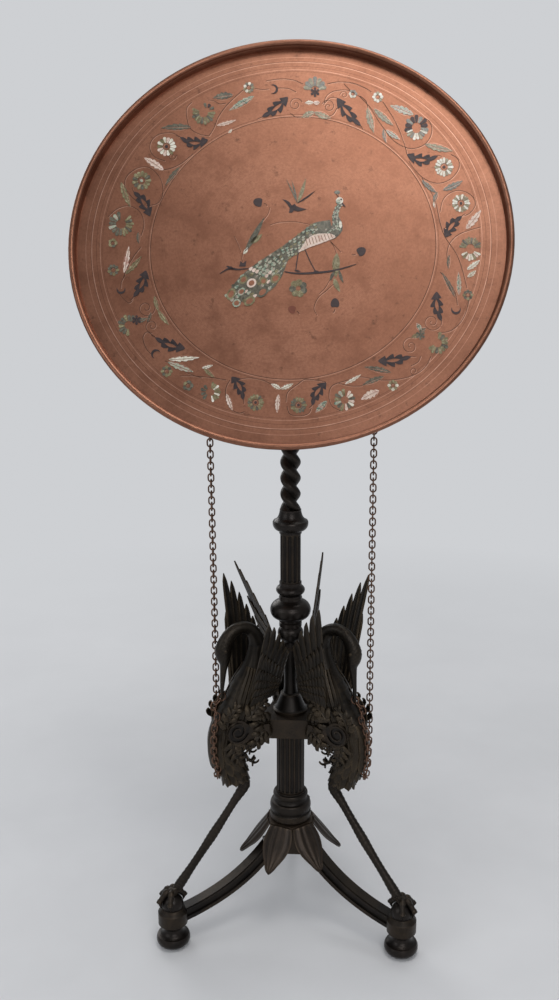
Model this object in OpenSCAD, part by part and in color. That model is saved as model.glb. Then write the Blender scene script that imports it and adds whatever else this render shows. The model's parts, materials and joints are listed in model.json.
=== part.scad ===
// Tilt-top tray table: an inlaid copper tray that tips on a bronze tripod stand with three storks.
// Millimetres, +Z up, origin on the floor under the column, the tray faces -Y.

/* [Tray] */
// Outer diameter of the tray over its rolled lip
tray_d = 433; // [380:1:470]
// Height of the rim above the flat of the tray
rim_h = 9; // [7.5:0.5:16]
// How far the hollow rim opens out between its foot and its lip
rim_flare = 4; // [3.5:0.5:9]
// Thickness of the copper sheet
sheet_t = 1.6; // [1:0.1:2.5]
// Diameter of the lip rolled round a wire
lip_d = 6; // [3:0.2:7]
// Lean of the raised tray from level, in degrees
tray_tilt = 63; // [50:1:75]

/* [Inlay] */
// How far the inlaid pieces stand proud of the flat
inlay_t = 0.4; // [0.3:0.05:0.8]
// How far the ring of dark leaves lies inside the foot of the rim
leaf_inset = 57.5; // [52:0.5:62]
// How far the ring of rosettes lies inside the foot of the rim
rosette_inset = 38.5; // [33:0.5:41]
// Diameter of a large rosette
rosette_d = 17; // [12:0.5:19]
// Length of a dark leaf
dark_leaf_l = 25; // [18:0.5:28]
// Turn of the whole ornament on the tray, in degrees
ornament_turn = -8; // [-30:1:30]
// How far the middle of the ornament lies below the middle of the tray
ornament_drop = 6.5; // [0:0.5:8]

/* [Hinge] */
// Diameter of the bar that the tray turns on
bar_d = 10; // [8:0.5:12]
// Length of the bar between its two finials
bar_l = 184; // [176:1:200]
// Diameter of the finials on the bar
finial_d = 15; // [13:0.5:20]
// Width of the head block along the bar
head_w = 34; // [28:1:44]
// Distance from the bar's axis to the stops on the head block
stop_r = 14; // [13:0.5:18]
// Thickness of a bracket's ear
ear_t = 8; // [6:0.5:11]
// Diameter of the carrier plate under the tray
carrier_d = 150; // [120:1:180]
// Thickness of the carrier plate
carrier_t = 5; // [4:0.5:8]
// Diameter of the locking bolt
bolt_d = 3; // [2.4:0.1:3.4]
// How far the locking bolt slides
bolt_travel = 8; // [6:0.5:10]
// Diameter of the bracket screws
screw_d = 4; // [3:0.5:5]

/* [Column] */
// Diameter of the tie rod that clamps the column
rod_d = 6; // [5:0.5:7]
// Height of the twisted shaft
twist_h = 238; // [200:1:280]
// Largest diameter of the twisted shaft
twist_d = 21.6; // [19:0.2:26]
// Rise of one full turn of the twist
twist_lead = 34; // [26:1:44]
// Height of the collar knop under the twist
collar_knop_h = 26; // [20:1:34]
// Diameter of the collar knop
collar_knop_d = 38; // [32:1:46]
// Height of the fluted shaft
fluted_h = 54; // [40:1:70]
// Diameter of the fluted shaft
fluted_d = 22; // [19:0.5:26]
// Height of the ring knop
ring_knop_h = 17; // [13:1:22]
// Diameter of the ring knop
ring_knop_d = 31; // [28:1:38]
// Height of the ball knop
ball_knop_h = 27; // [22:1:34]
// Diameter of the ball knop
ball_knop_d = 44; // [38:1:50]
// Height of the small knop
small_knop_h = 29; // [24:1:36]
// Diameter of the small knop
small_knop_d = 30; // [26:1:36]
// Height of the slender stem with its bell foot
stem_h = 76; // [66:1:90]
// Diameter of the slender stem
stem_d = 14; // [11:0.5:18]
// Height of the six-sided plate that carries the storks
plate_h = 22; // [18:1:28]
// Distance of that plate's free faces from the middle of the column
plate_in = 27; // [25:0.5:29]
// Distance of its faces that carry the storks
plate_out = 32; // [30:0.5:34]
// Height of the reeded lower column
reeded_h = 74; // [60:1:90]
// Diameter of the reeded lower column
reeded_d = 31; // [27:0.5:36]
// Height of the moulding at the foot of the column
moulding_h = 34; // [26:1:42]
// Diameter of that moulding
moulding_d = 46; // [42:1:52]

/* [Base] */
// Radius of the circle on which the three feet stand
feet_r = 144; // [130:1:160]
// Diameter of a bun foot
bun_d = 36; // [30:1:40]
// Height of a bun foot
bun_h = 25; // [20:1:30]
// Diameter of the block at the end of a leg
block_d = 32; // [30:1:38]
// Height of that block
block_h = 21; // [18:1:26]
// Diameter of the ball under a claw
ball_d = 24; // [20:1:26]
// Width of a tripod leg
leg_w = 16; // [12:0.5:18]
// Depth of a tripod leg at the hub
leg_depth = 23; // [18:1:26]
// Height of the hub
hub_h = 32; // [28:1:40]
// Width of the hub across its flats
hub_af = 40; // [36:1:46]
// Height of the hub's underside above the floor
hub_lift = 82; // [72:1:92]
// Thickness of the leaf collar on the hub
collar_t = 5; // [4:0.5:8]
// Turn of the leaf collar on the hub, in degrees
leaf_turn = 8; // [0:1:10]
// Length of a base leaf, measured outward
leaf_reach = 34; // [28:1:38]
// How far a base leaf hangs down
leaf_drop = 39; // [32:1:46]

/* [Storks] */
// Height of a stork from its thigh to the crown of its neck
stork_h = 177; // [165:1:190]
// Width of a stork over its breast
stork_w = 34; // [30:1:38]
// Height of a wing
wing_h = 134; // [118:1:150]
// Breadth of a wing
wing_w = 40; // [34:1:42]
// Thickness of a feather
feather_t = 2.4; // [1.8:0.1:3]
// Thickness of a stork's shank
shank_d = 9; // [7:0.5:11]
// Diameter of a scroll beside a thigh
scroll_d = 28; // [22:1:30]
// Thickness of a scroll's cheek
cheek_t = 4; // [3:0.5:6]

/* [Chains] */
// Diameter of the chain wire
wire_d = 1.6; // [1.2:0.1:1.8]
// Inside length of a link
link_l = 7; // [6:0.1:8]
// Outside width of a link
link_w = 7.4; // [6.8:0.1:8]
// Distance of each chain from the middle of the bar
chain_x = 86; // [84:1:88]
// Mean diameter of the ring on the bar
bar_ring_d = 15; // [14:0.5:18]
// Mean diameter of the ring through a beak
beak_ring_d = 8.8; // [8:0.2:10]

/* [Hidden] */
$fn = 48;
// Clearance of a pin or shaft in its hole, on the radius
fit_gap = 0.05;
// Clearance of the tie rod in the pieces that it passes through
rod_gap = 0.3;
// Clearance between pieces that pass each other
run_gap = 0.4;
// Clearance at the stops and between seated curved faces
seat_gap = 0.3;
// Overlap that joins the shapes of one solid
join = 1;

sides = ["left", "right", "back"];
side_turns = [210, 330, 90];

// Heights of the column, from the hub up
hub_top = hub_lift + hub_h;
moulding_z = hub_top + collar_t;
reeded_z = moulding_z + moulding_h;
plate_z = reeded_z + reeded_h;
stem_z = plate_z + plate_h;
small_knop_z = stem_z + stem_h;
ball_knop_z = small_knop_z + small_knop_h;
ring_knop_z = ball_knop_z + ball_knop_h;
fluted_z = ring_knop_z + ring_knop_h;
collar_knop_z = fluted_z + fluted_h;
twist_z = collar_knop_z + collar_knop_h;
head_z = twist_z + twist_h;
socket_h = 16;
hinge_z = head_z + socket_h + stop_r;

// Radii
bar_r = bar_d / 2;
rod_r = rod_d / 2;
rod_hole_r = rod_r + rod_gap;
ball_r = ball_d / 2;

// Tray, measured from the hinge axis along the tray's normal
carrier_z = stop_r + seat_gap;
sheet_z = carrier_z + carrier_t;
flat_z = sheet_z + sheet_t;
lip_r = lip_d / 2;
lip_at = [tray_d / 2 - lip_r, rim_h - lip_r];
flat_r = lip_at[0] - rim_flare;
leaf_ring_r = flat_r - leaf_inset;
rosette_ring_r = flat_r - rosette_inset;

// Base
block_z = bun_h;
block_top = block_z + block_h;
ball_z = block_top + 4;
block_edge = 2.5;
stud_r = 4;
stud_l = 12;
leg_stud_r = 3;
leg_stud_l = 14;
leg_stud_x = rod_hole_r + 3;
leg_top_z = hub_top - 4;
leg_stud_z = leg_top_z - leg_depth / 2;
nut_t = 5;
washer_t = 1.6;

// Storks, in a frame whose X points outward from the column
spine_drawn_h = 177;
spine_k = stork_h / spine_drawn_h;
thigh_drop = 43;
stork_z = plate_z - thigh_drop;
// Middle line of a stork from beak to thigh: outward, up, half depth, half width as a share
spine = [
    [82, 96, 1.5, 0.1],
    [81, 110, 2.4, 0.14],
    [79.5, 126, 3.6, 0.2],
    [78.5, 134, 5, 0.3],
    [79, 142, 8.2, 0.43],
    [79, 150, 9, 0.47],
    [76, 159, 7.8, 0.41],
    [69, 167.5, 6.8, 0.37],
    [58, 171, 6.4, 0.36],
    [47, 166.5, 7, 0.39],
    [41, 155, 8.4, 0.46],
    [40, 140, 10.5, 0.6],
    [44, 121, 14, 0.82],
    [53, 101, 17, 1],
    [64, 79, 18, 1],
    [75, 56, 20.5, 0.88],
    [78, 34, 17, 0.7],
    [72, 15, 13.5, 0.56],
    [65, 0, 10, 0.44]
];
spine_sides = 16;
spine_steps = 2;
beak_hole_up = 101;
beak_hole_r = 1.3;
stork_half = stork_w / 2;
hock_up = 13;
hock_in = 8;
shank_bow = 1;
shank_sides = 8;
claw_in = 10;
toe_r = 3;
toe_step = 30;
toe_turns = [-52, 0, 52, 180];
scroll_out = 73;
scroll_up = 63;
wing_out = 64;
wing_up = 88;
// Pose of each stork's left and right wing, in degrees: lean from the body, tip sent outward, turn
wing_poses = [
    [[28, 11, 17], [7, 0, -8]],
    [[18, -2, -8], [18, 9, 8]],
    [[17, 19, 22], [4, 16, 6]]
];
feather_count = 7;
feather_fall = 11;
feather_w = 10;
// Boss that seats each wing on the shoulder
shoulder_d = 12;
shoulder_l = 14;
shoulder_in = 10.5;
shoulder_up = 13;

// Chains
wire_r = wire_d / 2;
ring_wire_r = 1.2;
beak_wire_r = 0.7;
bar_groove = 1;
groove_w = 5;
link_slack = 0.8;
// How far each chain lies round the breast from its ridge, and how far it is drawn in below
chain_lays = [36, 10];
chain_pulls = [6, -1];

// Helpers

// Points of a quadratic curve from a to b that is drawn towards c
function curve(a, c, b, n = 8) =
    [for (i = [0:n]) let (t = i / n) (1 - t) * (1 - t) * a + 2 * t * (1 - t) * c + t * t * b];

// One point between b and c on a smooth line that passes a, b, c and d
function between(a, b, c, d, t) =
    b + (c - a) * t / 2 + (2 * a - 5 * b + 4 * c - d) * t * t / 2
    + (3 * b - a - 3 * c + d) * t * t * t / 2;

// A smooth line through all the points, with n steps between neighbours
function smooth(p, n) = let (m = len(p) - 1) concat(
    [for (i = [0:m - 1]) for (k = [0:n - 1])
        between(p[max(i - 1, 0)], p[i], p[i + 1], p[min(i + 2, m)], k / n)],
    [p[m]]
);

function unit(v) = v / norm(v);

// Directions along a line of points, with a set direction at its end or its start
function headings(p, first = undef, last = undef) = [
    for (i = [0:len(p) - 1])
        i == 0 && first != undef ? first :
        i == len(p) - 1 && last != undef ? last :
        unit(p[min(i + 1, len(p) - 1)] - p[max(i - 1, 0)])
];

// Rings of a limb that lies in the XZ plane: rows are outward, up, half depth, half width
function limb_rings(rows, m, first = undef, last = undef) = let (
    line = [for (row = rows) [row[0], row[1]]],
    way = headings(line, first, last)
) [
    for (i = [0:len(rows) - 1]) [
        for (j = [0:m - 1]) let (
            t = 360 * j / m,
            deep = rows[i][2] * cos(t)
        ) [line[i][0] + way[i][1] * deep, rows[i][3] * sin(t), line[i][1] - way[i][0] * deep]
    ]
];

// Closed solid through rings of equally many points
module skin(rings) {
    m = len(rings[0]);
    n = len(rings);
    walls = [
        for (i = [0:n - 2]) for (j = [0:m - 1]) let (
            a = i * m + j,
            b = i * m + (j + 1) % m
        ) each [[a, b + m, b], [a, a + m, b + m]]
    ];
    caps = [[for (j = [0:m - 1]) j], [for (j = [m - 1:-1:0]) (n - 1) * m + j]];
    polyhedron([for (ring = rings) each ring], concat(walls, caps));
}

// Turns a piece drawn outward along X to one of the three sides
module at_side(i) {
    rotate([0, 0, side_turns[i]]) children();
}

// Places a piece drawn level round the hinge axis into the raised tray
module in_tray() {
    translate([0, 0, hinge_z]) rotate([tray_tilt, 0, 0]) children();
}

// Cylinder along X from x0 to x1
module along_x(r, x0, x1) {
    translate([x0, 0, 0]) rotate([0, 90, 0]) cylinder(r = r, h = x1 - x0);
}

// Turned piece of the column with a hole for the tie rod
module turned(z, h, profile) {
    translate([0, 0, z]) difference() {
        rotate_extrude() polygon(concat([[0, 0]], profile, [[0, h]]));
        translate([0, 0, -join]) cylinder(r = rod_hole_r, h = h + 2 * join);
    }
}

// Round shaft with flutes all round and a hole for the tie rod
module grooved_shaft(z, h, d, count, groove_r) {
    translate([0, 0, z]) difference() {
        cylinder(d = d, h = h);
        translate([0, 0, -join]) cylinder(r = rod_hole_r, h = h + 2 * join);
        for (i = [0:count - 1])
            rotate([0, 0, 360 * i / count])
                translate([d / 2 + groove_r / 3, 0, groove_r])
                    cylinder(r = groove_r, h = h - 2 * groove_r);
    }
}

// Tray and its inlay

// Hollow curve of the rim from the edge of the flat to the lip, on one face of the sheet
function rim_line(foot, top) = curve(foot, [foot[0] + rim_flare / 9, rim_h * 0.75], top, 10);

module tray() {
    half_t = [0, sheet_t / 2];
    color("#96604a") in_tray() translate([0, 0, flat_z]) rotate_extrude($fn = 180) {
        polygon(concat(
            [[0, 0], [0, -sheet_t], [flat_r, -sheet_t]],
            rim_line([flat_r + sheet_t, 0], lip_at - half_t),
            [for (i = [10:-1:0]) rim_line([flat_r, 0], lip_at + half_t)[i]]
        ));
        translate(lip_at) circle(r = lip_r);
    }
}

// Places flat ornament on the tray at a radius and at an angle clockwise from the top
module on_flat(r, angle, spin = 0) {
    in_tray() translate([0, -ornament_drop, flat_z]) rotate([0, 0, ornament_turn - angle])
        translate([0, r, 0]) rotate([0, 0, spin]) linear_extrude(inlay_t) children();
}

// Notched leaf outline along Y, centred on its middle
module leaf_outline(l, w, notches) {
    half = [
        for (i = [1:2 * notches - 1]) let (
            t = i / (2 * notches),
            x = w / 2 * sin(180 * pow(t, 0.8)) * (i % 2 == 0 ? 0.62 : 1)
        ) [x, l * (t - 0.5)]
    ];
    polygon(concat(
        [[0, -l / 2]], half, [[0, l / 2]],
        [for (i = [len(half) - 1:-1:0]) [-half[i][0], half[i][1]]]
    ));
}

// Rosette outline with round-ended petals
module rosette_outline(d, petals) {
    steps = petals * 6;
    polygon([
        for (i = [0:steps - 1]) let (
            angle = 360 * i / steps,
            r = d / 2 * (0.8 + 0.2 * abs(sin(angle * petals / 2)))
        ) r * [cos(angle), sin(angle)]
    ]);
}

dark_leaf_angles = [14.5, 45.5];

module dark_leaves() {
    color("#2a2226") for (sector = [0, 120, 240]) for (hand = [-1, 1]) for (a = dark_leaf_angles)
        on_flat(leaf_ring_r, sector + hand * a, hand * 35) difference() {
            leaf_outline(dark_leaf_l, dark_leaf_l * 0.48, 4);
            leaf_outline(dark_leaf_l * 0.4, dark_leaf_l * 0.13, 1);
        }
}

module shell_rosettes() {
    color("#c9c2a0") for (sector = [0, 120, 240]) for (hand = [-1, 1]) {
        on_flat(rosette_ring_r, sector + hand * 53) rosette_outline(rosette_d, 10);
        on_flat(rosette_ring_r + 3, sector + hand * 37) rosette_outline(rosette_d, 7);
        on_flat(rosette_ring_r + 8, sector + hand * 23) rosette_outline(rosette_d * 0.62, 8);
    }
}

module shell_palmettes() {
    color("#b5a878") for (sector = [0, 120, 240]) for (petal = [-2:2])
        on_flat(rosette_ring_r - 4, sector)
            rotate(petal * -32) translate([0, 9.6 - abs(petal)])
                leaf_outline(12 - 1.4 * abs(petal), 4.6, 1);
}

peacock_tail = [[6, 3], [-14, -10], [-33, -28], [-50, -48], [-53, -58], [-47, -64], [-36, -63],
    [-27, -52], [-13, -30], [5, -8]];
peacock_body = [[6, 4], [14, 15], [28, 22], [40, 26], [43, 38], [42.5, 46], [45.5, 51], [49, 49],
    [51, 44], [49, 38], [50, 22], [45, 11], [33, 4], [18, -3], [5.5, -7]];

module shell_peacock() {
    color("#7f9482") {
        on_flat(0, 0, -ornament_turn) polygon(peacock_tail);
        on_flat(0, 0, -ornament_turn) translate([join / 2, join / 2]) polygon(peacock_body);
    }
}

branch_line = [[-64, -30], [-40, -25], [-29, -24]];
branch_end = [[-3, -29], [20, -31], [45, -28], [66, -21]];

module dark_branch() {
    color("#2f2624") for (line = [branch_line, branch_end])
        on_flat(0, 0, -ornament_turn) let (top = smooth(line, 4))
            polygon(concat(
                [for (i = [0:len(top) - 1]) top[i] + [0, 0.4 + 0.9 * sin(180 * i / (len(top) - 1))]],
                [for (i = [len(top) - 1:-1:0]) top[i] - [0, 0.4]]
            ));
}

// Hinge

module tray_carrier() {
    color("#7a5a34") in_tray() difference() {
        translate([0, 0, carrier_z]) cylinder(d = carrier_d, h = carrier_t, $fn = 120);
        for (hand = [-1, 1]) for (y = [-1, 1])
            translate([hand * foot_screw_x, y * foot_screw_y, carrier_z - join])
                cylinder(d = screw_d + 2 * fit_gap, h = join + screw_bite + seat_gap);
    }
}

ear_x = head_w / 2 + run_gap;
ear_r = stop_r;
foot_l = 22;
foot_t = 5;
foot_screw_x = ear_x + ear_t + foot_l / 2;
foot_screw_y = ear_r - screw_d;
screw_bite = carrier_t - 1.5;
screw_head_t = 2.4;
bolt_r = bolt_d / 2;
bolt_out = bar_r + (stop_r - bar_r) / 2;

// Right-hand bracket, drawn round the hinge axis; the left one is its mirror image
module bracket_solid(bolt_hole) {
    difference() {
        union() {
            along_x(ear_r, ear_x, ear_x + ear_t);
            translate([ear_x, -ear_r, 0]) cube([ear_t, 2 * ear_r, carrier_z]);
            translate([ear_x, -ear_r, carrier_z - foot_t]) cube([ear_t + foot_l, 2 * ear_r, foot_t]);
        }
        along_x(bar_r + fit_gap, ear_x - join, ear_x + ear_t + join);
        if (bolt_hole)
            translate([0, 0, -bolt_out]) along_x(bolt_r + fit_gap, ear_x - join, ear_x + ear_t + join);
        for (y = [-1, 1])
            translate([foot_screw_x, y * foot_screw_y, carrier_z - foot_t - join])
                cylinder(d = screw_d + 2 * fit_gap, h = foot_t + 2 * join);
    }
}

module hinge_bracket_left() {
    color("#8a6a3a") in_tray() mirror([1, 0, 0]) bracket_solid(false);
}

module hinge_bracket_right() {
    color("#8a6a3a") in_tray() bracket_solid(true);
}

module bracket_screws() {
    color("#b09050") in_tray() for (hand = [-1, 1]) for (y = [-1, 1])
        translate([hand * foot_screw_x, y * foot_screw_y, carrier_z - foot_t]) difference() {
            union() {
                translate([0, 0, -screw_head_t]) cylinder(d = 2 * screw_d, h = screw_head_t);
                cylinder(d = screw_d, h = foot_t + screw_bite);
            }
            translate([-screw_d, -0.4, -screw_head_t - join])
                cube([2 * screw_d, 0.8, join + screw_head_t / 2]);
        }
}

knob_d = 8;
knob_l = 9;
knob_bore = 6;
bolt_tip_x = ear_x + 1;
knob_x = ear_x + ear_t + bolt_travel + seat_gap;

module lock_bolt() {
    color("#9a7a42") in_tray() translate([0, 0, -bolt_out])
        along_x(bolt_r, bolt_tip_x, knob_x + knob_bore);
}

module lock_knob() {
    color("#b08c4a") in_tray() translate([knob_x, 0, -bolt_out]) rotate([0, 90, 0]) difference() {
        rotate_extrude() polygon(concat(
            [[0, 0], [knob_d / 3, 0]],
            curve([knob_d / 3, 1], [knob_d / 2, knob_l / 3], [knob_d / 2, knob_l / 2]),
            curve([knob_d / 2, knob_l / 2 + 0.5], [knob_d / 2, knob_l], [0, knob_l])
        ));
        translate([0, 0, -join]) cylinder(r = bolt_r + fit_gap, h = knob_bore + join);
    }
}

rod_top = head_z + socket_h;
grub_r = 2;
grub_x = -head_w / 4;
socket_r = twist_d / 2 + 1.5;
barrel_r = stop_r - 0.8;
stop_w = head_w - 2;

module head_block() {
    color("#3a2f26") difference() {
        union() {
            translate([0, 0, head_z]) cylinder(r = socket_r, h = socket_h + stop_r / 3);
            translate([0, 0, hinge_z]) {
                along_x(barrel_r, -head_w / 2, head_w / 2);
                translate([-stop_w / 2, 0, 0]) cube([stop_w, stop_r, stop_r]);
                rotate([tray_tilt, 0, 0]) translate([-stop_w / 2, -stop_r, 0])
                    cube([stop_w, stop_r, stop_r]);
            }
        }
        translate([0, 0, hinge_z]) {
            along_x(bar_r + fit_gap, -head_w, head_w);
            for (turn = [0, tray_tilt]) rotate([turn, 0, 0]) translate([0, 0, -bolt_out])
                along_x(bolt_r + fit_gap, bolt_tip_x - bolt_travel - seat_gap, head_w);
            translate([grub_x, 0, 0]) rotate([-90, 0, 0]) cylinder(r = grub_r + fit_gap, h = head_w);
        }
        translate([0, 0, head_z - join]) cylinder(r = rod_r + fit_gap, h = rod_top - head_z + 2 * join);
    }
}

module bar_grub_screw() {
    color("#5a5048") translate([grub_x, bar_r + fit_gap, hinge_z]) rotate([-90, 0, 0]) difference() {
        cylinder(r = grub_r, h = stop_r - bar_r - fit_gap);
        translate([-grub_r, -0.3, stop_r - bar_r - 1.2]) cube([2 * grub_r, 0.6, 2]);
    }
}

finial_bore = 6;

module hinge_bar() {
    color("#6a5236") translate([0, 0, hinge_z]) difference() {
        along_x(bar_r, -bar_l / 2 - finial_bore, bar_l / 2 + finial_bore);
        for (hand = [-1, 1]) difference() {
            along_x(bar_r + join, hand * chain_x - groove_w / 2, hand * chain_x + groove_w / 2);
            along_x(bar_r - bar_groove, hand * chain_x - groove_w, hand * chain_x + groove_w);
        }
    }
}

module bar_finials() {
    color("#5a4630") for (hand = [-1, 1])
        translate([hand * bar_l / 2, 0, hinge_z]) rotate([0, hand * 90, 0]) difference() {
            rotate_extrude() polygon(concat(
                [[0, 0], [bar_r + 1.2, 0], [bar_r + 1.2, 2]],
                curve([bar_r + 0.4, 3], [finial_d / 2, 4], [finial_d / 2, 9]),
                curve([finial_d / 2, 9.5], [finial_d / 2, 15], [0, 16])
            ));
            translate([0, 0, -join]) cylinder(r = bar_r + fit_gap, h = finial_bore + seat_gap + join);
        }
}

// Column

module tie_rod() {
    color("#55504a") translate([0, 0, hub_lift - washer_t - nut_t - 3])
        cylinder(r = rod_r, h = rod_top - hub_lift + washer_t + nut_t + 3);
}

module tie_rod_washer() {
    color("#6a6258") translate([0, 0, hub_lift - washer_t]) difference() {
        cylinder(r = 2.4 * rod_r, h = washer_t);
        translate([0, 0, -join]) cylinder(r = rod_hole_r, h = washer_t + 2 * join);
    }
}

module tie_rod_nut() {
    color("#6a6258") translate([0, 0, hub_lift - washer_t - nut_t]) difference() {
        cylinder(r = 1.9 * rod_r, h = nut_t, $fn = 6);
        translate([0, 0, -join]) cylinder(r = rod_r + fit_gap, h = nut_t + 2 * join);
    }
}

strand_off = 0.36;
twist_points = 16;
twist_slices = 10;
hole_sides = 8;

module twist_shaft() {
    turns = twist_h / twist_lead;
    color("#2b2520") translate([0, 0, twist_z])
        linear_extrude(twist_h, twist = 360 * turns,
            slices = round(turns * twist_slices), segments = twist_points) difference() {
            polygon([
                for (i = [0:twist_points - 1]) let (
                    angle = 360 * i / twist_points,
                    side = strand_off * sin(angle),
                    r = strand_off * abs(cos(angle)) + sqrt(pow(1 - strand_off, 2) - side * side)
                ) twist_d / 2 * r * [cos(angle), sin(angle)]
            ]);
            circle(r = (rod_hole_r + run_gap) / cos(180 / hole_sides), $fn = hole_sides);
        }
}

module collar_knop() {
    h = collar_knop_h;
    r = collar_knop_d / 2;
    neck = fluted_d / 2 + 1;
    color("#2e2721") turned(collar_knop_z, h, concat(
        [[neck, 0], [neck, h * 0.1]],
        curve([neck + 1.5, h * 0.12], [r * 1.02, h * 0.2], [r, h * 0.47], 8),
        curve([r * 0.96, h * 0.53], [r * 0.66, h * 0.6], [twist_d / 2 + 0.6, h * 0.95], 8),
        [[twist_d / 2 + 0.6, h]]
    ));
}

module fluted_shaft() {
    color("#2b2520") grooved_shaft(fluted_z, fluted_h, fluted_d, 12, 1.8);
}

module ring_knop() {
    h = ring_knop_h;
    r = ring_knop_d / 2;
    neck = fluted_d / 2 + 1;
    color("#2e2721") turned(ring_knop_z, h, concat(
        [[neck, 0], [neck, h * 0.14]],
        curve([r * 0.82, h * 0.2], [r * 1.18, h * 0.46], [r * 0.84, h * 0.72], 7),
        [[neck, h * 0.8], [neck, h]]
    ));
}

module ball_knop() {
    h = ball_knop_h;
    r = ball_knop_d / 2;
    neck = ring_knop_d / 2 - 3;
    color("#2e2721") turned(ball_knop_z, h, concat(
        [[neck, 0], [neck, h * 0.08]],
        curve([r * 0.72, h * 0.12], [r * 0.98, h * 0.2], [r, h * 0.45], 7),
        curve([r, h * 0.5], [r * 0.96, h * 0.74], [r * 0.66, h * 0.84], 7),
        [[neck, h * 0.9], [neck, h]]
    ));
}

module small_knop() {
    h = small_knop_h;
    r = small_knop_d / 2;
    color("#2e2721") turned(small_knop_z, h, concat(
        [[stem_d / 2 + 1.5, 0], [stem_d / 2 + 1.5, h * 0.12]],
        curve([r * 0.62, h * 0.2], [r * 1.2, h * 0.5], [r * 0.72, h * 0.76], 8),
        [[r * 0.82, h * 0.8], [r * 0.82, h * 0.93], [r * 0.7, h]]
    ));
}

module slender_stem() {
    r = stem_d / 2;
    foot_r = plate_in - 8;
    color("#2b2520") turned(stem_z, stem_h, concat(
        [[foot_r, 0], [foot_r, 3], [foot_r - 2, 4.5]],
        curve([foot_r - 3, 6], [foot_r * 0.62, 16], [r + 4, 19], 7),
        [[r + 4, 21]],
        curve([r + 1, 22], [r, 26], [r, 34], 4),
        curve([r, stem_h - 14], [r, stem_h - 6], [r + 2, stem_h - 3], 4),
        [[r + 2, stem_h]]
    ));
}

scroll_stud_r = 2.5;
scroll_stud_l = 9;
scroll_stud_z = plate_z + plate_h / 2;
plate_face = plate_out;

module stork_plate() {
    color("#332b24") difference() {
        translate([0, 0, plate_z]) linear_extrude(plate_h) intersection() {
            rotate(30) circle(r = 2 * plate_out, $fn = 3);
            rotate(-30) circle(r = 2 * plate_in, $fn = 3);
        }
        translate([0, 0, plate_z - join]) cylinder(r = rod_hole_r, h = plate_h + 2 * join);
        for (i = [0:2]) at_side(i) translate([0, 0, scroll_stud_z])
            along_x(scroll_stud_r + fit_gap, plate_face - scroll_stud_l - seat_gap, plate_face + join);
    }
}

module scroll_studs() {
    color("#6a6258") for (i = [0:2]) at_side(i) translate([0, 0, scroll_stud_z])
        along_x(scroll_stud_r, plate_face - scroll_stud_l, plate_face + scroll_stud_l);
}

module reeded_column() {
    color("#2b2520") grooved_shaft(reeded_z, reeded_h, reeded_d, 18, 1.9);
}

module base_moulding() {
    h = moulding_h;
    r = moulding_d / 2;
    top = reeded_d / 2 + 1.5;
    color("#332b24") turned(moulding_z, h, concat(
        [[r - 2, 0], [r, 2], [r, h * 0.24]],
        curve([r - 1.5, h * 0.28], [r + 1.6, h * 0.46], [r - 1.5, h * 0.62], 7),
        curve([r - 4, h * 0.64], [top + 0.6, h * 0.68], [top + 0.5, h * 0.76], 4),
        curve([top + 1.6, h * 0.78], [top + 3.4, h * 0.86], [top + 1.6, h * 0.94], 6),
        [[top, h * 0.95], [top, h]]
    ));
}

// Base

leaf_face = moulding_d / 2 + 1;
base_leaf_half_w = 17;
base_leaf_half_t = 1.5;
base_leaf_sides = 10;

module leaf_collar() {
    color("#4a3c2c") translate([0, 0, hub_top]) difference() {
        rotate([0, 0, 30 + leaf_turn]) cylinder(r = leaf_face / cos(30), h = collar_t, $fn = 6);
        translate([0, 0, -join]) cylinder(r = rod_hole_r, h = collar_t + 2 * join);
    }
}

// One hanging leaf, drawn outward along X from its flat root on the collar
module base_leaf() {
    mid_z = hub_top + collar_t / 2;
    line = curve(
        [leaf_face, mid_z], [leaf_face + leaf_reach * 0.42, mid_z - leaf_drop * 0.58],
        [leaf_face + leaf_reach, mid_z - leaf_drop], 14
    );
    skin(limb_rings([
        for (i = [0:len(line) - 1]) let (
            t = i / (len(line) - 1),
            swell = 0.78 + 0.22 * sin(180 * min(t * 1.25, 1))
        ) [line[i][0], line[i][1], base_leaf_half_t * (1 - 0.6 * t),
            base_leaf_half_w * swell * (1 - pow(t, 3) * 0.86)]
    ], base_leaf_sides, [1, 0]));
}

module base_leaves() {
    color("#6a523a") for (i = [0:5]) rotate([0, 0, 60 * i + leaf_turn]) base_leaf();
}

hub_face = hub_af / 2;

module hub() {
    color("#332b24") difference() {
        translate([0, 0, hub_lift]) cylinder(r = hub_face / cos(30), h = hub_h, $fn = 6);
        translate([0, 0, hub_lift - join]) cylinder(r = rod_hole_r, h = hub_h + 2 * join);
        for (i = [0:2]) at_side(i) translate([0, 0, leg_stud_z])
            along_x(leg_stud_r + fit_gap, leg_stud_x - seat_gap, hub_face + join);
    }
}

module leg_studs() {
    color("#6a6258") for (i = [0:2]) at_side(i) translate([0, 0, leg_stud_z])
        along_x(leg_stud_r, leg_stud_x, hub_face + leg_stud_l);
}

leg_end = feet_r - block_d / 2 + 3;
leg_tip_depth = 14;

// Side outline of a leg between two levels, as shares of its depth
module leg_outline(low, high) {
    top_a = [hub_face, leg_top_z - leg_depth * (1 - high)];
    top_b = [leg_end, block_top - 3 - leg_tip_depth * (1 - high)];
    low_a = [hub_face, leg_top_z - leg_depth * (1 - low)];
    low_b = [leg_end, block_top - 3 - leg_tip_depth * (1 - low)];
    bend_x = hub_face + (leg_end - hub_face) * 0.34;
    polygon(concat(
        curve(top_a, [bend_x, top_b[1] + 14], top_b, 14),
        curve(low_b, [bend_x, low_b[1] + 14], low_a, 14)
    ));
}

// A layer of a leg, with its outline upright along the leg
module leg_layer(w, low, high) {
    rotate([90, 0, 0]) translate([0, 0, -w / 2]) linear_extrude(w) leg_outline(low, high);
}

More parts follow.
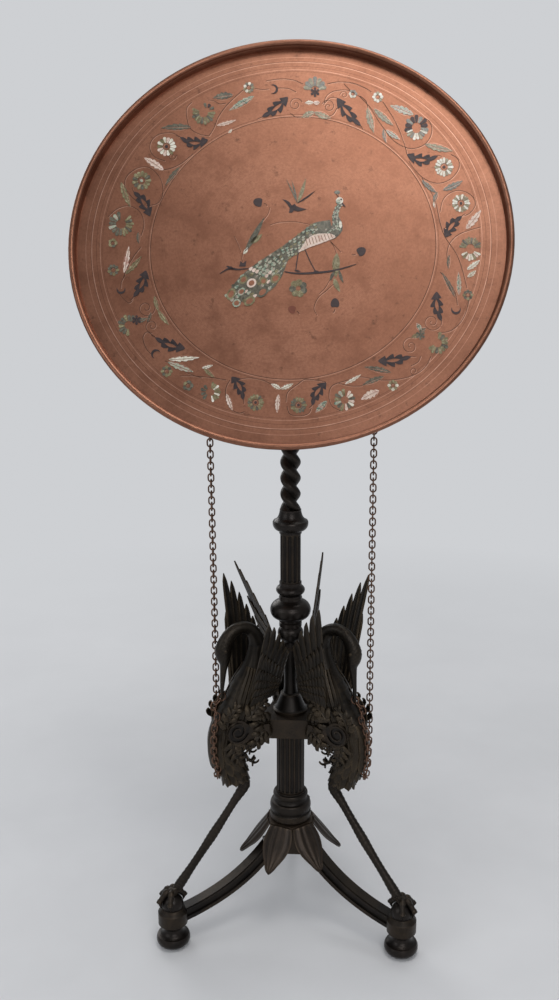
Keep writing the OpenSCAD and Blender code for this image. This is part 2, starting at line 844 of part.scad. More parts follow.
module tripod_leg(i) {
    color("#3a3028") at_side(i) difference() {
        union() {
            leg_layer(leg_w - 4, 0, 1);
            leg_layer(leg_w, 0, 0.3);
            leg_layer(leg_w - 1.5, 0.78, 0.94);
            translate([feet_r, 0, block_z]) rotate_extrude() polygon([
                [0, 0], [block_d / 2 - block_edge, 0], [block_d / 2, block_edge],
                [block_d / 2, block_h - 2 * block_edge],
                [block_d / 2 - 2 * block_edge, block_h], [0, block_h]
            ]);
        }
        translate([0, 0, leg_stud_z])
            along_x(leg_stud_r + fit_gap, hub_face - join, hub_face + leg_stud_l + seat_gap);
        translate([feet_r, 0, block_z - join])
            cylinder(r = stud_r + fit_gap, h = stud_l + seat_gap + join);
        translate([feet_r, 0, ball_z]) sphere(r = ball_r + seat_gap / 3);
    }
}

module bun_foot(i) {
    r = bun_d / 2;
    color("#2b2520") at_side(i) translate([feet_r, 0, 0]) {
        rotate_extrude() polygon(concat(
            [[0, 0], [r * 0.58, 0]],
            curve([r * 0.64, bun_h * 0.02], [r * 1.12, bun_h * 0.16], [r, bun_h * 0.46], 7),
            curve([r * 0.95, bun_h * 0.54], [r * 0.6, bun_h * 0.6], [r * 0.56, bun_h * 0.84], 7),
            [[r * 0.58, bun_h * 0.92], [r * 0.72, bun_h], [0, bun_h]]
        ));
        translate([0, 0, bun_h - join]) cylinder(r = stud_r, h = stud_l + join);
    }
}

module claw_ball(i) {
    color("#1e1b19") at_side(i) translate([feet_r, 0, ball_z]) sphere(r = ball_r);
}

// Storks

spine_rows = smooth(
    [for (p = spine) [p[0], stork_z + p[1] * spine_k, p[2], p[3] * stork_half]],
    spine_steps
);
beak_hole_z = stork_z + beak_hole_up * spine_k;
beak_hole_x = 81.7;

module stork(i) {
    color("#2f2923") at_side(i) difference() {
        skin(limb_rings(spine_rows, spine_sides, undef, [0, -1]));
        translate([beak_hole_x, 0, beak_hole_z]) along_x(beak_hole_r, -ball_r, ball_r);
    }
}

thigh_end = spine_rows[len(spine_rows) - 1];
hock = [thigh_end[0] - hock_in, thigh_end[1] - hock_up];
claw_top = [feet_r - claw_in, ball_z + ball_r + 2 * toe_r + 4];

// Middle line of a stork's lower leg: out of the thigh, round the hock, down to the claw
function shank_rows() = let (
    way = claw_top - hock,
    side = unit([way[1], -way[0]])
) smooth(concat(
    [[thigh_end[0], thigh_end[1], thigh_end[2], thigh_end[3]]],
    [[thigh_end[0] - hock_in * 0.45, thigh_end[1] - hock_up * 0.36, 7.6, 6.6]],
    [[hock[0], hock[1], 6.6, 6]],
    [for (i = [1:5]) let (
        t = i / 6,
        p = hock + way * t + side * shank_bow * sin(180 * t),
        r = shank_d / 2 * (1 + (i == 3 ? 0.18 : 0))
    ) [p[0], p[1], r, r]],
    [[claw_top[0], claw_top[1], shank_d * 0.62, shank_d * 0.62]]
), 3);

// A point round the claw ball, by its angle from the top and its turn about the ball
function on_ball(angle, turn, reach) = [
    feet_r + reach * sin(angle) * cos(turn),
    reach * sin(angle) * sin(turn),
    ball_z + reach * cos(angle)
];

module toe(turn, first, joints) {
    reach = (ball_r + seat_gap + toe_r) / cos(toe_step / 2);
    for (k = [0:joints - 1]) hull() {
        translate(on_ball(first + k * toe_step, turn, reach)) sphere(r = toe_r, $fn = 8);
        translate(on_ball(first + (k + 1) * toe_step, turn, reach))
            sphere(r = toe_r * (k == joints - 1 ? 0.55 : 0.95), $fn = 8);
    }
}

module stork_leg(i) {
    color("#3a3128") at_side(i) {
        skin(limb_rings(shank_rows(), shank_sides, [0, -1]));
        for (turn = toe_turns) toe(turn, turn == 180 ? 22 : -8, turn == 180 ? 2 : 3);
        hull() {
            translate([claw_top[0], 0, claw_top[1]]) sphere(r = shank_d * 0.62, $fn = 10);
            translate([feet_r - claw_in / 2, 0, ball_z + ball_r + toe_r + 1])
                sphere(r = toe_r + 1, $fn = 10);
        }
    }
}

cheek_in = stork_half + seat_gap;
cheek_out = cheek_in + cheek_t;
scroll_z = stork_z + scroll_up;
scroll_turns = 1.9;
band_w = 1.7;
band_t = 1.4;
web_out = 44;
web_l = 8;
web_half_w = 11;

// Spiral band of a volute
module volute_band() {
    n = 40;
    ways = [for (i = [0:n]) let (a = 200 + 360 * scroll_turns * i / n) [cos(a), sin(a)]];
    reach = [for (i = [0:n]) scroll_d / 2 * (1 - 0.74 * i / n)];
    polygon(concat(
        [for (i = [0:n]) reach[i] * ways[i]],
        [for (i = [n:-1:0]) (reach[i] - band_w) * ways[i]]
    ));
}

// Acanthus leaf that runs from the plate to the volute, with a lobed lower edge
module acanthus_outline() {
    lobes = 4;
    low = [
        for (i = [0:lobes * 6]) let (t = i / (lobes * 6))
            [plate_face + t * (scroll_out - plate_face),
                plate_z + 1 + 5 * t - 3.2 * abs(sin(180 * lobes * t)) + 4 * t * t]
    ];
    high = curve(
        [scroll_out, scroll_z + scroll_d / 2 - 3], [plate_face + 14, plate_z + plate_h - 2],
        [plate_face, plate_z + plate_h], 10
    );
    polygon(concat(low, high));
}

module scroll_bracket(i) {
    color("#332b24") at_side(i) difference() {
        union() {
            for (hand = [0, 1]) mirror([0, hand, 0]) {
                translate([0, cheek_out, 0]) rotate([90, 0, 0]) linear_extrude(cheek_t) {
                    translate([scroll_out, scroll_z]) circle(r = scroll_d / 2 - 1.2);
                    intersection() {
                        acanthus_outline();
                        translate([web_out - web_l, 0]) square([scroll_out, 2 * plate_z]);
                    }
                }
                translate([scroll_out, cheek_out + band_t, scroll_z]) rotate([90, 0, 0])
                    linear_extrude(band_t + cheek_t / 2) volute_band();
            }
            translate([0, web_half_w, 0]) rotate([90, 0, 0]) linear_extrude(2 * web_half_w)
                intersection() {
                    acanthus_outline();
                    square([web_out, 2 * plate_z]);
                }
            translate([0, cheek_out, 0]) rotate([90, 0, 0]) linear_extrude(2 * cheek_out)
                intersection() {
                    acanthus_outline();
                    translate([web_out - web_l, 0]) square([web_l, 2 * plate_z]);
                }
        }
        translate([0, 0, scroll_stud_z])
            along_x(scroll_stud_r + fit_gap, plate_face - join, plate_face + scroll_stud_l + seat_gap);
    }
}

module feather_disc(at, d, t) {
    translate([-at[0], 0, at[1]]) rotate([-90, 0, 0]) cylinder(d = d, h = t, $fn = 8);
}

// One feather of a wing, from its root to its tip, in the wing's own plane
module feather(root, tip, w, out) {
    mid = root + (tip - root) * 0.72;
    translate([0, out, 0]) hull() {
        feather_disc(root, w * 0.8, feather_t);
        feather_disc(mid, w, feather_t);
        feather_disc(tip, w * 0.42, feather_t * 0.7);
    }
}

// Places a piece drawn in the plane of a left wing onto the stork's shoulder
module in_wing(pose) {
    translate([wing_out, stork_half + seat_gap, stork_z + wing_up])
        rotate([0, 0, pose[2]]) rotate([-pose[0], 0, 0]) rotate([0, pose[1], 0]) children();
}

// Left wing of a stork, in a frame whose X points outward from the column
module wing_solid(pose) {
    layer = feather_t * 0.35;
    pitch = (wing_w - feather_w) / (feather_count - 1);
    in_wing(pose) {
        for (i = [0:feather_count - 1])
            feather(
                [8 + i * pitch * 0.8, 24], [4 + i * pitch, wing_h - i * feather_fall],
                feather_w, i * layer / 3
            );
        for (i = [0:4])
            feather(
                [7 + i * pitch, 11], [5 + i * pitch * 1.3, wing_h * 0.69 - i * 5],
                feather_w * 1.1, layer * 2
            );
        for (i = [0:3])
            feather(
                [7 + i * pitch * 1.3, 6], [9 + i * pitch * 1.5, wing_h * 0.43 - i * 3],
                feather_w * 1.2, layer * 3.2
            );
    }
    intersection() {
        in_wing(pose) translate([-shoulder_in, -shoulder_l, shoulder_up]) rotate([-90, 0, 0])
            cylinder(d = shoulder_d, h = shoulder_l + layer * 3.2 + join, $fn = 16);
        translate([0, stork_half + seat_gap, stork_z]) cube([2 * wing_out, wing_out, 2 * wing_h]);
    }
}

module wings(i) {
    color("#3a3229") at_side(i) {
        wing_solid(wing_poses[i][0]);
        mirror([0, 1, 0]) wing_solid(wing_poses[i][1]);
    }
}

// Chains

// One link along Z with its wide side along X
module link() {
    bend_r = (link_w - wire_d) / 2;
    run = link_l + wire_d - 2 * bend_r;
    for (end = [0, 1]) mirror([0, 0, end]) translate([0, 0, run / 2]) rotate([90, 0, 0])
        rotate_extrude(angle = 180) translate([bend_r, 0]) circle(r = wire_r, $fn = 24);
    for (hand = [-1, 1]) translate([hand * bend_r, 0, -run / 2]) cylinder(r = wire_r, h = run, $fn = 24);
}

bar_ring_r = bar_ring_d / 2;
bar_ring_z = hinge_z + bar_r - bar_groove - bar_ring_r + ring_wire_r + seat_gap / 3;
chain_top_z = bar_ring_z - bar_ring_r + ring_wire_r - link_l / 2 + seat_gap / 3;
beak_ring_r = beak_ring_d / 2;
beak_ring_z = beak_hole_z - beak_ring_r;
left_way = [cos(side_turns[0]), sin(side_turns[0])];
chain_drop = chain_top_z - stork_z;
chain_off = link_w / 2 + 4 * seat_gap;
// Where the last link hangs in the beak ring
hook = beak_ring_r + link_l / 2 - beak_wire_r - link_slack / 2;
hook_turn = 46;

// A point by the left stork: outward, towards the front of the table, and up from its thigh
function by_stork(out, front, up) = [
    out * left_way[0] - front * left_way[1],
    out * left_way[1] + front * left_way[0],
    stork_z + up * spine_k
];

// A point on the line of pull from the middle of the beak ring, some way past its last link
function hook_place(past) = by_stork(
    beak_hole_x + (hook + past) * sin(hook_turn),
    0,
    (beak_ring_z - (hook + past) * cos(hook_turn) - stork_z) / spine_k
);

// Height, middle of the breast, its ridge, its half width, and the chain's share of its lie there
loop_up = 20;
loop_back = 24;
loop_out = 85;
loop_mid = 73;
loop_deep = 18;
loop_half_w = 10;
breast = [
    [34, 78, 95, 12.5, 1],
    [54, 75.5, 95.5, 15.5, 0.9],
    [69, 67, 91.5, 17, 0.65],
    [78, 62.5, 85.5, 17, 0.38]
];

// A point on a chain that lies on the breast, turned round from its ridge by an angle
function on_breast(row, lay) = by_stork(
    row[1] + (row[2] - row[1] + chain_off) * cos(lay * row[4]),
    (row[3] + chain_off) * sin(lay * row[4]),
    row[0]
);

// Slack loop under the breast, from the back of the stork round to the lie of the chain
function loop_line(lay, pull) = let (
    half = (loop_back + (loop_half_w + chain_off) * sin(lay)) / 2,
    start = loop_out - 0.75 * pull,
    end = loop_mid + (loop_deep + chain_off) * cos(lay)
) [
    for (a = [0:30:180]) by_stork(
        start + (end - start) * (1 - cos(a)) / 2,
        half - loop_back - half * cos(a),
        loop_up - half * sin(a)
    )
];

// Route of the left chain from the bar, down behind the breast, up over it to the beak
function chain_route(lay, pull) = smooth(concat(
    [for (t = [0, 0.13, 0.31, 0.49, 0.64, 0.75])
        [pull * t - chain_x, -12 * t * t, chain_top_z - chain_drop * t]],
    [for (p = [[0.9, -13, 78], [1, -17, 44]])
        [pull * p[0] - chain_x, p[1], stork_z + p[2] * spine_k]],
    loop_line(lay, pull),
    [for (row = breast) on_breast(row, lay)],
    [hook_place(link_l), hook_place(0)]
), 8);

// Running length at each point of a route
function lengths(p) = [for (i = 0, sum = 0; i < len(p);
    sum = sum + (i < len(p) - 1 ? norm(p[i + 1] - p[i]) : 0), i = i + 1) sum];

// Point of a route at a running length
function at_length(route, run, s) = [
    for (k = [0:2]) lookup(s, [for (i = [0:len(run) - 1]) [run[i], route[i][k]]])
];

// The part of one direction that is square to another
function across(n, way) = unit(n - (n * way) * way);

// Directions square to a line of headings, carried along it without twist
function carried(ways) = [
    for (i = 0, n = across([1, 0, 0], ways[0]); i < len(ways);
        i = i + 1, n = i < len(ways) ? across(n, ways[i]) : n) n
];

module chain_solid(lay, pull) {
    route = chain_route(lay, pull);
    run = lengths(route);
    l = run[len(run) - 1];
    count = 2 * ceil((l / (link_l - link_slack) - 1) / 2) + 1;
    places = [for (i = [0:count]) at_length(route, run, l * i / count)];
    ways = headings(places);
    wides = carried(ways);
    for (i = [0:count]) let (
        wide = wides[i],
        third = cross(ways[i], wide)
    )
        translate(places[i])
            rotate([atan2(third[2], ways[i][2]), -asin(wide[2]), atan2(wide[1], wide[0])])
                rotate([0, 0, (i % 2) * 90]) link();
}

module chain_left() {
    color("#5c3f2c") chain_solid(chain_lays[0], chain_pulls[0]);
}

module chain_right() {
    color("#5c3f2c") mirror([1, 0, 0]) chain_solid(chain_lays[1], chain_pulls[1]);
}

module chain_rings() {
    color("#5c3f2c") {
        for (hand = [-1, 1]) translate([hand * chain_x, 0, bar_ring_z]) rotate([0, 90, 0])
            rotate_extrude() translate([bar_ring_r, 0]) circle(r = ring_wire_r, $fn = 24);
        for (i = [0, 1]) at_side(i) translate([beak_hole_x, 0, beak_ring_z]) rotate([90, 0, 0])
            rotate_extrude() translate([beak_ring_r, 0]) circle(r = beak_wire_r, $fn = 24);
    }
}

tray();
tray_carrier();
hinge_bracket_left();
hinge_bracket_right();
bracket_screws();
dark_leaves();
shell_rosettes();
shell_palmettes();
shell_peacock();
dark_branch();
lock_bolt();
lock_knob();
head_block();
hinge_bar();
bar_finials();
bar_grub_screw();
tie_rod();
tie_rod_nut();
tie_rod_washer();
twist_shaft();
collar_knop();
fluted_shaft();
ring_knop();
ball_knop();
small_knop();
slender_stem();
stork_plate();
reeded_column();
base_moulding();
leaf_collar();
base_leaves();
hub();
leg_studs();
scroll_studs();
for (i = [0:2]) tripod_leg(i);
for (i = [0:2]) bun_foot(i);
for (i = [0:2]) claw_ball(i);
for (i = [0:2]) stork(i);
for (i = [0:2]) stork_leg(i);
for (i = [0:2]) scroll_bracket(i);
for (i = [0:2]) wings(i);
chain_left();
chain_right();
chain_rings();
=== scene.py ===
import json
import math
import random

import bmesh
import bpy
import numpy as np
from mathutils import Matrix, Vector


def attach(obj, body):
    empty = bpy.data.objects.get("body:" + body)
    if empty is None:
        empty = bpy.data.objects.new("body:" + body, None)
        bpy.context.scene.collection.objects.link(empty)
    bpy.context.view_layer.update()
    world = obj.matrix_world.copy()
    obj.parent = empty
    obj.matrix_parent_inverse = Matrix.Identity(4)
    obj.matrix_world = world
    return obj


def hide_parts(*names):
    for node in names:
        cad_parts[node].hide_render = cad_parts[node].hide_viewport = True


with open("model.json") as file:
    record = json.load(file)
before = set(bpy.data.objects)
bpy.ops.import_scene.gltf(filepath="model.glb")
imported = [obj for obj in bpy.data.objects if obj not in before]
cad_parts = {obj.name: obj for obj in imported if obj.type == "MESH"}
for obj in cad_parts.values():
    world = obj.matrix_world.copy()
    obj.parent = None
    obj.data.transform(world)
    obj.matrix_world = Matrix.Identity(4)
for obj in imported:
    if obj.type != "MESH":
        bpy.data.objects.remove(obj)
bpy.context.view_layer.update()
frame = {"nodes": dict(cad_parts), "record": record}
rng = random.Random(7)

# Sizes of the frame in millimetres, as in the part's source
MM = 0.001
HINGE_Z = 746
TILT = math.radians(63)
FLAT_Z = 20.9
STORK_Z = 184
SIDES = ("left", "right", "back")
TURNS = (210, 330, 90)
BASE_LEAF_HALF = 17
BASE_LEAF_TURN = 8
TWIST_Z = (478, 716)
TWIST_PITCH = 34
TWIST_R = 10.8
# Ball that a stork holds: distance from the column, height and radius
BALL = (144, 50, 12)
# Lean, sweep and turn of each stork's left and right wing, in degrees
WING_POSES = (((28, 11, 17), (7, 0, -8)), ((18, -2, -8), (18, 9, 8)), ((17, 17, 28), (4, 16, 6)))
# Camera: place in metres, turn and fall of its view, focal length for a picture 1000 high, sideways shift,
# and the point of the picture that it looks along
CAMERA_TURN = math.radians(3.5)
CAMERA_FALL = 13.8
CAMERA_AT = (1.07352 * math.sin(CAMERA_TURN), -1.07352 * math.cos(CAMERA_TURN), 0.75147)
FOCAL = 1050
SHIFT = -0.011
PICTURE_MIDDLE = (290.5, 500)


# Camera, floor and light

def add_camera():
    data = bpy.data.cameras.new("camera")
    data.sensor_width = 36
    data.lens = FOCAL * data.sensor_width / 1000
    data.shift_x = SHIFT
    cam = bpy.data.objects.new("camera", data)
    cam.location = CAMERA_AT
    cam.rotation_euler = (math.radians(90 - CAMERA_FALL), 0, CAMERA_TURN)
    bpy.context.scene.collection.objects.link(cam)
    bpy.context.scene.camera = cam


def add_light(name, place, target, size, power, colour=(1, 1, 1)):
    data = bpy.data.lights.new(name, "AREA")
    data.shape = "DISK"
    data.size = size
    data.energy = power
    data.color = colour
    lamp = bpy.data.objects.new(name, data)
    lamp.location = place
    lamp.rotation_euler = (Vector(target) - Vector(place)).to_track_quat("-Z", "Y").to_euler()
    bpy.context.scene.collection.objects.link(lamp)


# Materials

class Paint:
    """A node material round one Principled shader."""

    def __init__(self, name, rough=0.4, metal=0.0, **sockets):
        self.m = bpy.data.materials.new(name)
        self.m.use_nodes = True
        self.t = self.m.node_tree
        self.t.nodes.clear()
        self.shader = self.node("BsdfPrincipled", Roughness=rough, Metallic=metal)
        for key, value in sockets.items():
            self.shader.inputs[key.replace("_", " ")].default_value = value
        self.end = self.node("OutputMaterial", Surface=self.shader.outputs[0])
        self.place = self.node("TexCoord").outputs["Object"]

    def join(self, a, b):
        if hasattr(a, "links"):
            self.t.links.new(a, b)
        else:
            b.default_value = a

    def node(self, kind, **inputs):
        n = self.t.nodes.new("ShaderNode" + kind)
        for key, value in inputs.items():
            self.join(value, n.inputs[key])
        return n

    def noise(self, scale, detail=4, rough=0.6, warp=0.0):
        n = self.node("TexNoise", Vector=self.place, Scale=scale, Detail=detail, Roughness=rough,
                      Distortion=warp)
        return n.outputs["Fac"]

    def cells(self, scale):
        return self.node("TexVoronoi", Vector=self.place, Scale=scale).outputs["Distance"]

    def length(self, vector):
        n = self.node("VectorMath")
        n.operation = "LENGTH"
        self.join(vector, n.inputs[0])
        return n.outputs["Value"]

    def brushed(self, scale):
        """Fine rings round the middle of the leaning tray."""
        tray = self.node("Mapping", Vector=self.place, Location=(0, 0, HINGE_Z * MM), Rotation=(TILT, 0, 0))
        tray.vector_type = "TEXTURE"
        flat = self.node("VectorMath")
        flat.operation = "MULTIPLY"
        flat.inputs[1].default_value = (1, 1, 0)
        self.join(tray.outputs[0], flat.inputs[0])
        n = self.node("TexNoise", Scale=scale, Detail=3)
        n.noise_dimensions = "1D"
        self.join(self.length(flat.outputs[0]), n.inputs["W"])
        return n.outputs["Fac"]

    def ramp(self, fac, *stops):
        n = self.node("ValToRGB", Fac=fac)
        e = n.color_ramp.elements
        while len(e) < len(stops):
            e.new(0.5)
        for s, (at, c) in zip(e, stops):
            s.position = at
            s.color = tuple(c) + (1,) if hasattr(c, "__len__") else (c, c, c, 1)
        return n.outputs["Color"]

    def mix(self, fac, a, b, how="MIX"):
        n = self.node("Mix")
        n.data_type = "RGBA"
        n.blend_type = how
        for value, socket in zip((fac, a, b), (n.inputs[0], n.inputs[6], n.inputs[7])):
            if hasattr(value, "__len__") and len(value) == 3:
                value = tuple(value) + (1,)
            self.join(value, socket)
        return n.outputs[2]

    def math(self, how, a, b=0.0, c=0.0):
        n = self.node("Math")
        n.operation = how
        for value, socket in zip((a, b, c), n.inputs):
            self.join(value, socket)
        return n.outputs[0]

    def worn(self, low, high):
        return self.ramp(self.node("NewGeometry").outputs["Pointiness"], (low, 0.0), (high, 1.0))

    def bump(self, height, strength, depth):
        n = self.node("Bump", Strength=strength, Distance=depth, Height=height)
        self.join(n.outputs[0], self.shader.inputs["Normal"])

    def colour(self, c):
        self.join(c, self.shader.inputs["Base Color"])

    def rough(self, fac, low, high):
        self.join(self.math("MULTIPLY_ADD", fac, high - low, low), self.shader.inputs["Roughness"])


def copper_paint():
    p = Paint("copper", metal=0.92)
    broad = p.noise(7, 3, 0.55, 0.6)
    mid = p.noise(38, 6, 0.65)
    fine = p.noise(420, 3)
    tone = p.ramp(broad, (0.3, (0.245, 0.107, 0.065)), (0.55, (0.305, 0.140, 0.088)),
                  (0.78, (0.350, 0.166, 0.107)))
    tone = p.mix(p.ramp(mid, (0.36, 0.55), (0.52, 0.0)), tone, (0.185, 0.078, 0.048))
    spots = p.ramp(p.noise(115, 5, 0.7), (0.60, 0.0), (0.72, 0.8))
    tone = p.mix(spots, tone, (0.100, 0.049, 0.034))
    tone = p.mix(p.ramp(fine, (0.35, 0.35), (0.6, 0.0)), tone, (0.160, 0.070, 0.044))
    rings = p.brushed(2600)
    tone = p.mix(p.ramp(rings, (0.34, 0.45), (0.52, 0.0)), tone, (0.175, 0.075, 0.046))
    p.colour(tone)
    p.rough(mid, 0.31, 0.46)
    p.bump(p.math("ADD", p.math("MULTIPLY", mid, 0.3), p.math("MULTIPLY", rings, 0.12)), 0.06, 0.0008)
    return p.m


def bronze_paint(name, dark, mid, rubbed, wear=0.75, fine=520):
    p = Paint(name, metal=0.72)
    cloud = p.noise(26, 5, 0.65, 0.4)
    grain = p.noise(fine, 4, 0.7)
    tone = p.mix(p.ramp(cloud, (0.38, 0.0), (0.68, 1.0)), dark, mid)
    edge = p.math("MULTIPLY", p.worn(0.505, 0.57), p.ramp(p.noise(70, 4), (0.30, 0.15), (0.62, wear)))
    tone = p.mix(edge, tone, rubbed)
    tone = p.mix(p.ramp(grain, (0.30, 0.5), (0.5, 0.0)), tone, tuple(0.45 * c for c in dark))
    p.colour(tone)
    p.rough(cloud, 0.30, 0.52)
    p.bump(grain, 0.22, 0.0009)
    return p.m


def plain_metal(name, a, b, metal=0.85, low=0.3, high=0.5, scale=60):
    p = Paint(name, metal=metal)
    cloud = p.noise(scale, 5, 0.65)
    tone = p.mix(p.ramp(cloud, (0.36, 0.0), (0.66, 1.0)), a, b)
    tone = p.mix(p.math("MULTIPLY", p.worn(0.51, 0.6), 0.5), tone, tuple(min(1, 2 * c) for c in b))
    p.colour(tone)
    p.rough(cloud, low, high)
    p.bump(p.noise(700, 3), 0.2, 0.0006)
    return p.m


def shell_paint(name, stops, scale=170, rough=0.24):
    p = Paint(name, rough=rough, Coat_Weight=0.2, Coat_Roughness=0.15)
    flow = p.noise(scale, 4, 0.6, 1.6)
    tone = p.ramp(flow, *stops)
    spots = p.ramp(p.cells(scale * 2.6), (0.0, 0.4), (0.22, 0.0))
    tone = p.mix(spots, tone, tuple(0.35 * c for c in stops[0][1]))
    p.colour(tone)
    p.bump(p.noise(scale * 3, 3), 0.18, 0.0005)
    return p.m


add_camera()
world = bpy.context.scene.world or bpy.data.worlds.new("world")
bpy.context.scene.world = world
bpy.context.scene.view_settings.view_transform = "Standard"
# Colour of the background, and how bright it shows
BACK = (0.70, 0.715, 0.74)
BACK_SHOWN = 0.88


def paint_world():
    world.use_nodes = True
    t = world.node_tree
    t.nodes.clear()
    out = t.nodes.new("ShaderNodeOutputWorld")
    shown, lit = t.nodes.new("ShaderNodeBackground"), t.nodes.new("ShaderNodeBackground")
    shown.inputs[0].default_value = BACK + (1,)
    shown.inputs[1].default_value = BACK_SHOWN
    lit.inputs[0].default_value = (0.93, 0.96, 1.0, 1)
    lit.inputs[1].default_value = 0.36
    rays, mixed = t.nodes.new("ShaderNodeLightPath"), t.nodes.new("ShaderNodeMixShader")
    t.links.new(rays.outputs["Is Camera Ray"], mixed.inputs[0])
    t.links.new(lit.outputs[0], mixed.inputs[1])
    t.links.new(shown.outputs[0], mixed.inputs[2])
    t.links.new(mixed.outputs[0], out.inputs[0])


def add_floor():
    bpy.ops.mesh.primitive_grid_add(x_subdivisions=8, y_subdivisions=8, size=12)
    floor = bpy.context.object
    floor.name = "floor"
    p = Paint("floor", rough=0.85)
    cloth = p.noise(3.2, 4, 0.55)
    p.colour(p.mix(p.ramp(cloth, (0.35, 0.0), (0.7, 1.0)), (0.66, 0.665, 0.68), (0.73, 0.735, 0.75)))
    fade = p.ramp(p.math("MULTIPLY", p.length(p.place), 0.4), (0.16, 0.0), (0.62, 1.0))
    glow = p.node("Emission", Color=BACK + (1,), Strength=BACK_SHOWN)
    rays, mixed = p.node("LightPath"), p.node("MixShader")
    p.join(p.math("MULTIPLY", fade, rays.outputs["Is Camera Ray"]), mixed.inputs[0])
    p.join(p.shader.outputs[0], mixed.inputs[1])
    p.join(glow.outputs[0], mixed.inputs[2])
    p.join(mixed.outputs[0], p.end.inputs[0])
    floor.data.materials.append(p.m)


paint_world()
add_floor()
# Lamps: place, target, size, power and colour
add_light("key", (0.25, -0.60, 2.4), (0, 0, 0.7), 0.9, 10.5, (1, 0.98, 0.95))
add_light("front", (0.6, -2.1, 1.5), (0, 0, 0.4), 1.4, 15, (0.98, 0.98, 1))
add_light("fill", (-1.7, -1.3, 1.2), (0, 0, 0.4), 1.4, 7, (0.95, 0.97, 1))
add_light("top", (0.2, 0.5, 2.3), (0, 0, 0.8), 1.2, 8)
add_light("rear", (-1.2, 1.6, 1.2), (0, 0, 0.4), 1.2, 9)

COPPER = copper_paint()
BRONZE = bronze_paint("dark_bronze", (0.011, 0.009, 0.0078), (0.024, 0.0190, 0.0150),
                      (0.070, 0.047, 0.027), 0.45)
FEATHER = bronze_paint("feather_bronze", (0.012, 0.0098, 0.0078), (0.030, 0.0235, 0.0168),
                       (0.095, 0.066, 0.036), 0.6)
BROWN = bronze_paint("brown_bronze", (0.020, 0.0145, 0.0108), (0.048, 0.034, 0.0245),
                     (0.115, 0.080, 0.052), 0.55)
POLISHED = plain_metal("polished_bronze", (0.012, 0.0095, 0.0082), (0.024, 0.0185, 0.0152), 0.7, 0.24, 0.38)
BRASS = plain_metal("dull_brass", (0.150, 0.095, 0.045), (0.25, 0.165, 0.082))
STEEL = plain_metal("dull_steel", (0.11, 0.10, 0.092), (0.19, 0.178, 0.165))
CHAIN = plain_metal("chain_copper", (0.085, 0.046, 0.030), (0.175, 0.098, 0.064), 0.8, 0.36, 0.56, 240)
ENGRAVED = plain_metal("engraving", (0.075, 0.034, 0.022), (0.140, 0.066, 0.043), 0.8, 0.45, 0.6, 90)
# Painted highlights beside the engraved lines and along one edge of the shell leaves; also the bright rings
# round the ornament and by the rim
HIGHLIGHT_AND_PALE_COPPER = plain_metal("painted_highlight_and_pale_copper", (0.35, 0.178, 0.120), (0.47, 0.265, 0.190), 0.85, 0.3, 0.42, 90)
# Inlay by its letter in the lists of the ornament
INLAY = {
    "d": plain_metal("black_inlay", (0.015, 0.011, 0.012), (0.034, 0.023, 0.023), 0.5, 0.36, 0.5, 240),
    "r": plain_metal("red_inlay", (0.065, 0.020, 0.012), (0.11, 0.034, 0.020), 0.5, 0.4, 0.5, 240),
    "c": COPPER,
    "o": shell_paint("olive_shell", ((0.30, (0.10, 0.080, 0.038)), (0.5, (0.19, 0.160, 0.082)),
                                     (0.72, (0.34, 0.31, 0.185)))),
    "w": shell_paint("white_shell", ((0.28, (0.30, 0.27, 0.185)), (0.46, (0.60, 0.56, 0.45)),
                                     (0.72, (0.80, 0.78, 0.70)))),
    "p": shell_paint("pink_shell", ((0.30, (0.42, 0.22, 0.18)), (0.5, (0.62, 0.50, 0.41)),
                                    (0.72, (0.78, 0.60, 0.54)))),
    "g": shell_paint("grey_shell", ((0.30, (0.050, 0.046, 0.032)), (0.5, (0.105, 0.096, 0.068)),
                                    (0.72, (0.185, 0.168, 0.120)))),
    "a": shell_paint("green_shell", (
        (0.26, (0.045, 0.075, 0.060)), (0.40, (0.13, 0.19, 0.14)), (0.50, (0.37, 0.40, 0.30)),
        (0.60, (0.36, 0.24, 0.20)), (0.74, (0.10, 0.21, 0.18)))),
}


# Shapes

class Bag:
    """Vertices and faces of one piece, in millimetres."""

    def __init__(self):
        self.v, self.f = [], []

    def add(self, verts, faces):
        n = len(self.v)
        self.v.extend(tuple(map(float, p)) for p in verts)
        self.f.extend(tuple(n + i for i in face) for face in faces)

    def moved(self, move):
        out = Bag()
        out.add([move(np.array(p)) for p in self.v], self.f)
        return out

    def put(self, name, material, slot, body="stand", hides=(), angle=50, smooth=True):
        mesh = bpy.data.meshes.new(name)
        mesh.from_pydata([tuple(c * MM for c in p) for p in self.v], [], self.f)
        work = bmesh.new()
        work.from_mesh(mesh)
        bmesh.ops.recalc_face_normals(work, faces=work.faces)
        work.to_mesh(mesh)
        work.free()
        if smooth:
            mesh.shade_smooth()
            mesh.set_sharp_from_angle(angle=math.radians(angle))
        mesh.materials.append(material)
        piece = bpy.data.objects.new(name, mesh)
        bpy.context.scene.collection.objects.link(piece)
        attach(piece, body)
        if hides:
            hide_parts(*hides)
        return piece


def unit(v):
    v = np.asarray(v, float)
    return v / max(np.linalg.norm(v), 1e-9)


def smooth(points, steps):
    p, out = np.array(points, float), []
    last = len(p) - 1
    for i in range(last):
        a, b, c, d = p[max(i - 1, 0)], p[i], p[i + 1], p[min(i + 2, last)]
        for k in range(steps):
            t = k / steps
            out.append(b + (c - a) * t / 2 + (2 * a - 5 * b + 4 * c - d) * t * t / 2
                       + (3 * b - a - 3 * c + d) * t ** 3 / 2)
    return np.array(out + [p[last]])


def loft(bag, rings):
    m, n = len(rings[0]), len(rings)
    faces = [(i * m + j, i * m + (j + 1) % m, (i + 1) * m + (j + 1) % m, (i + 1) * m + j)
             for i in range(n - 1) for j in range(m)]
    faces += [tuple(range(m)), tuple((n - 1) * m + j for j in range(m))]
    bag.add([p for ring in rings for p in ring], faces)


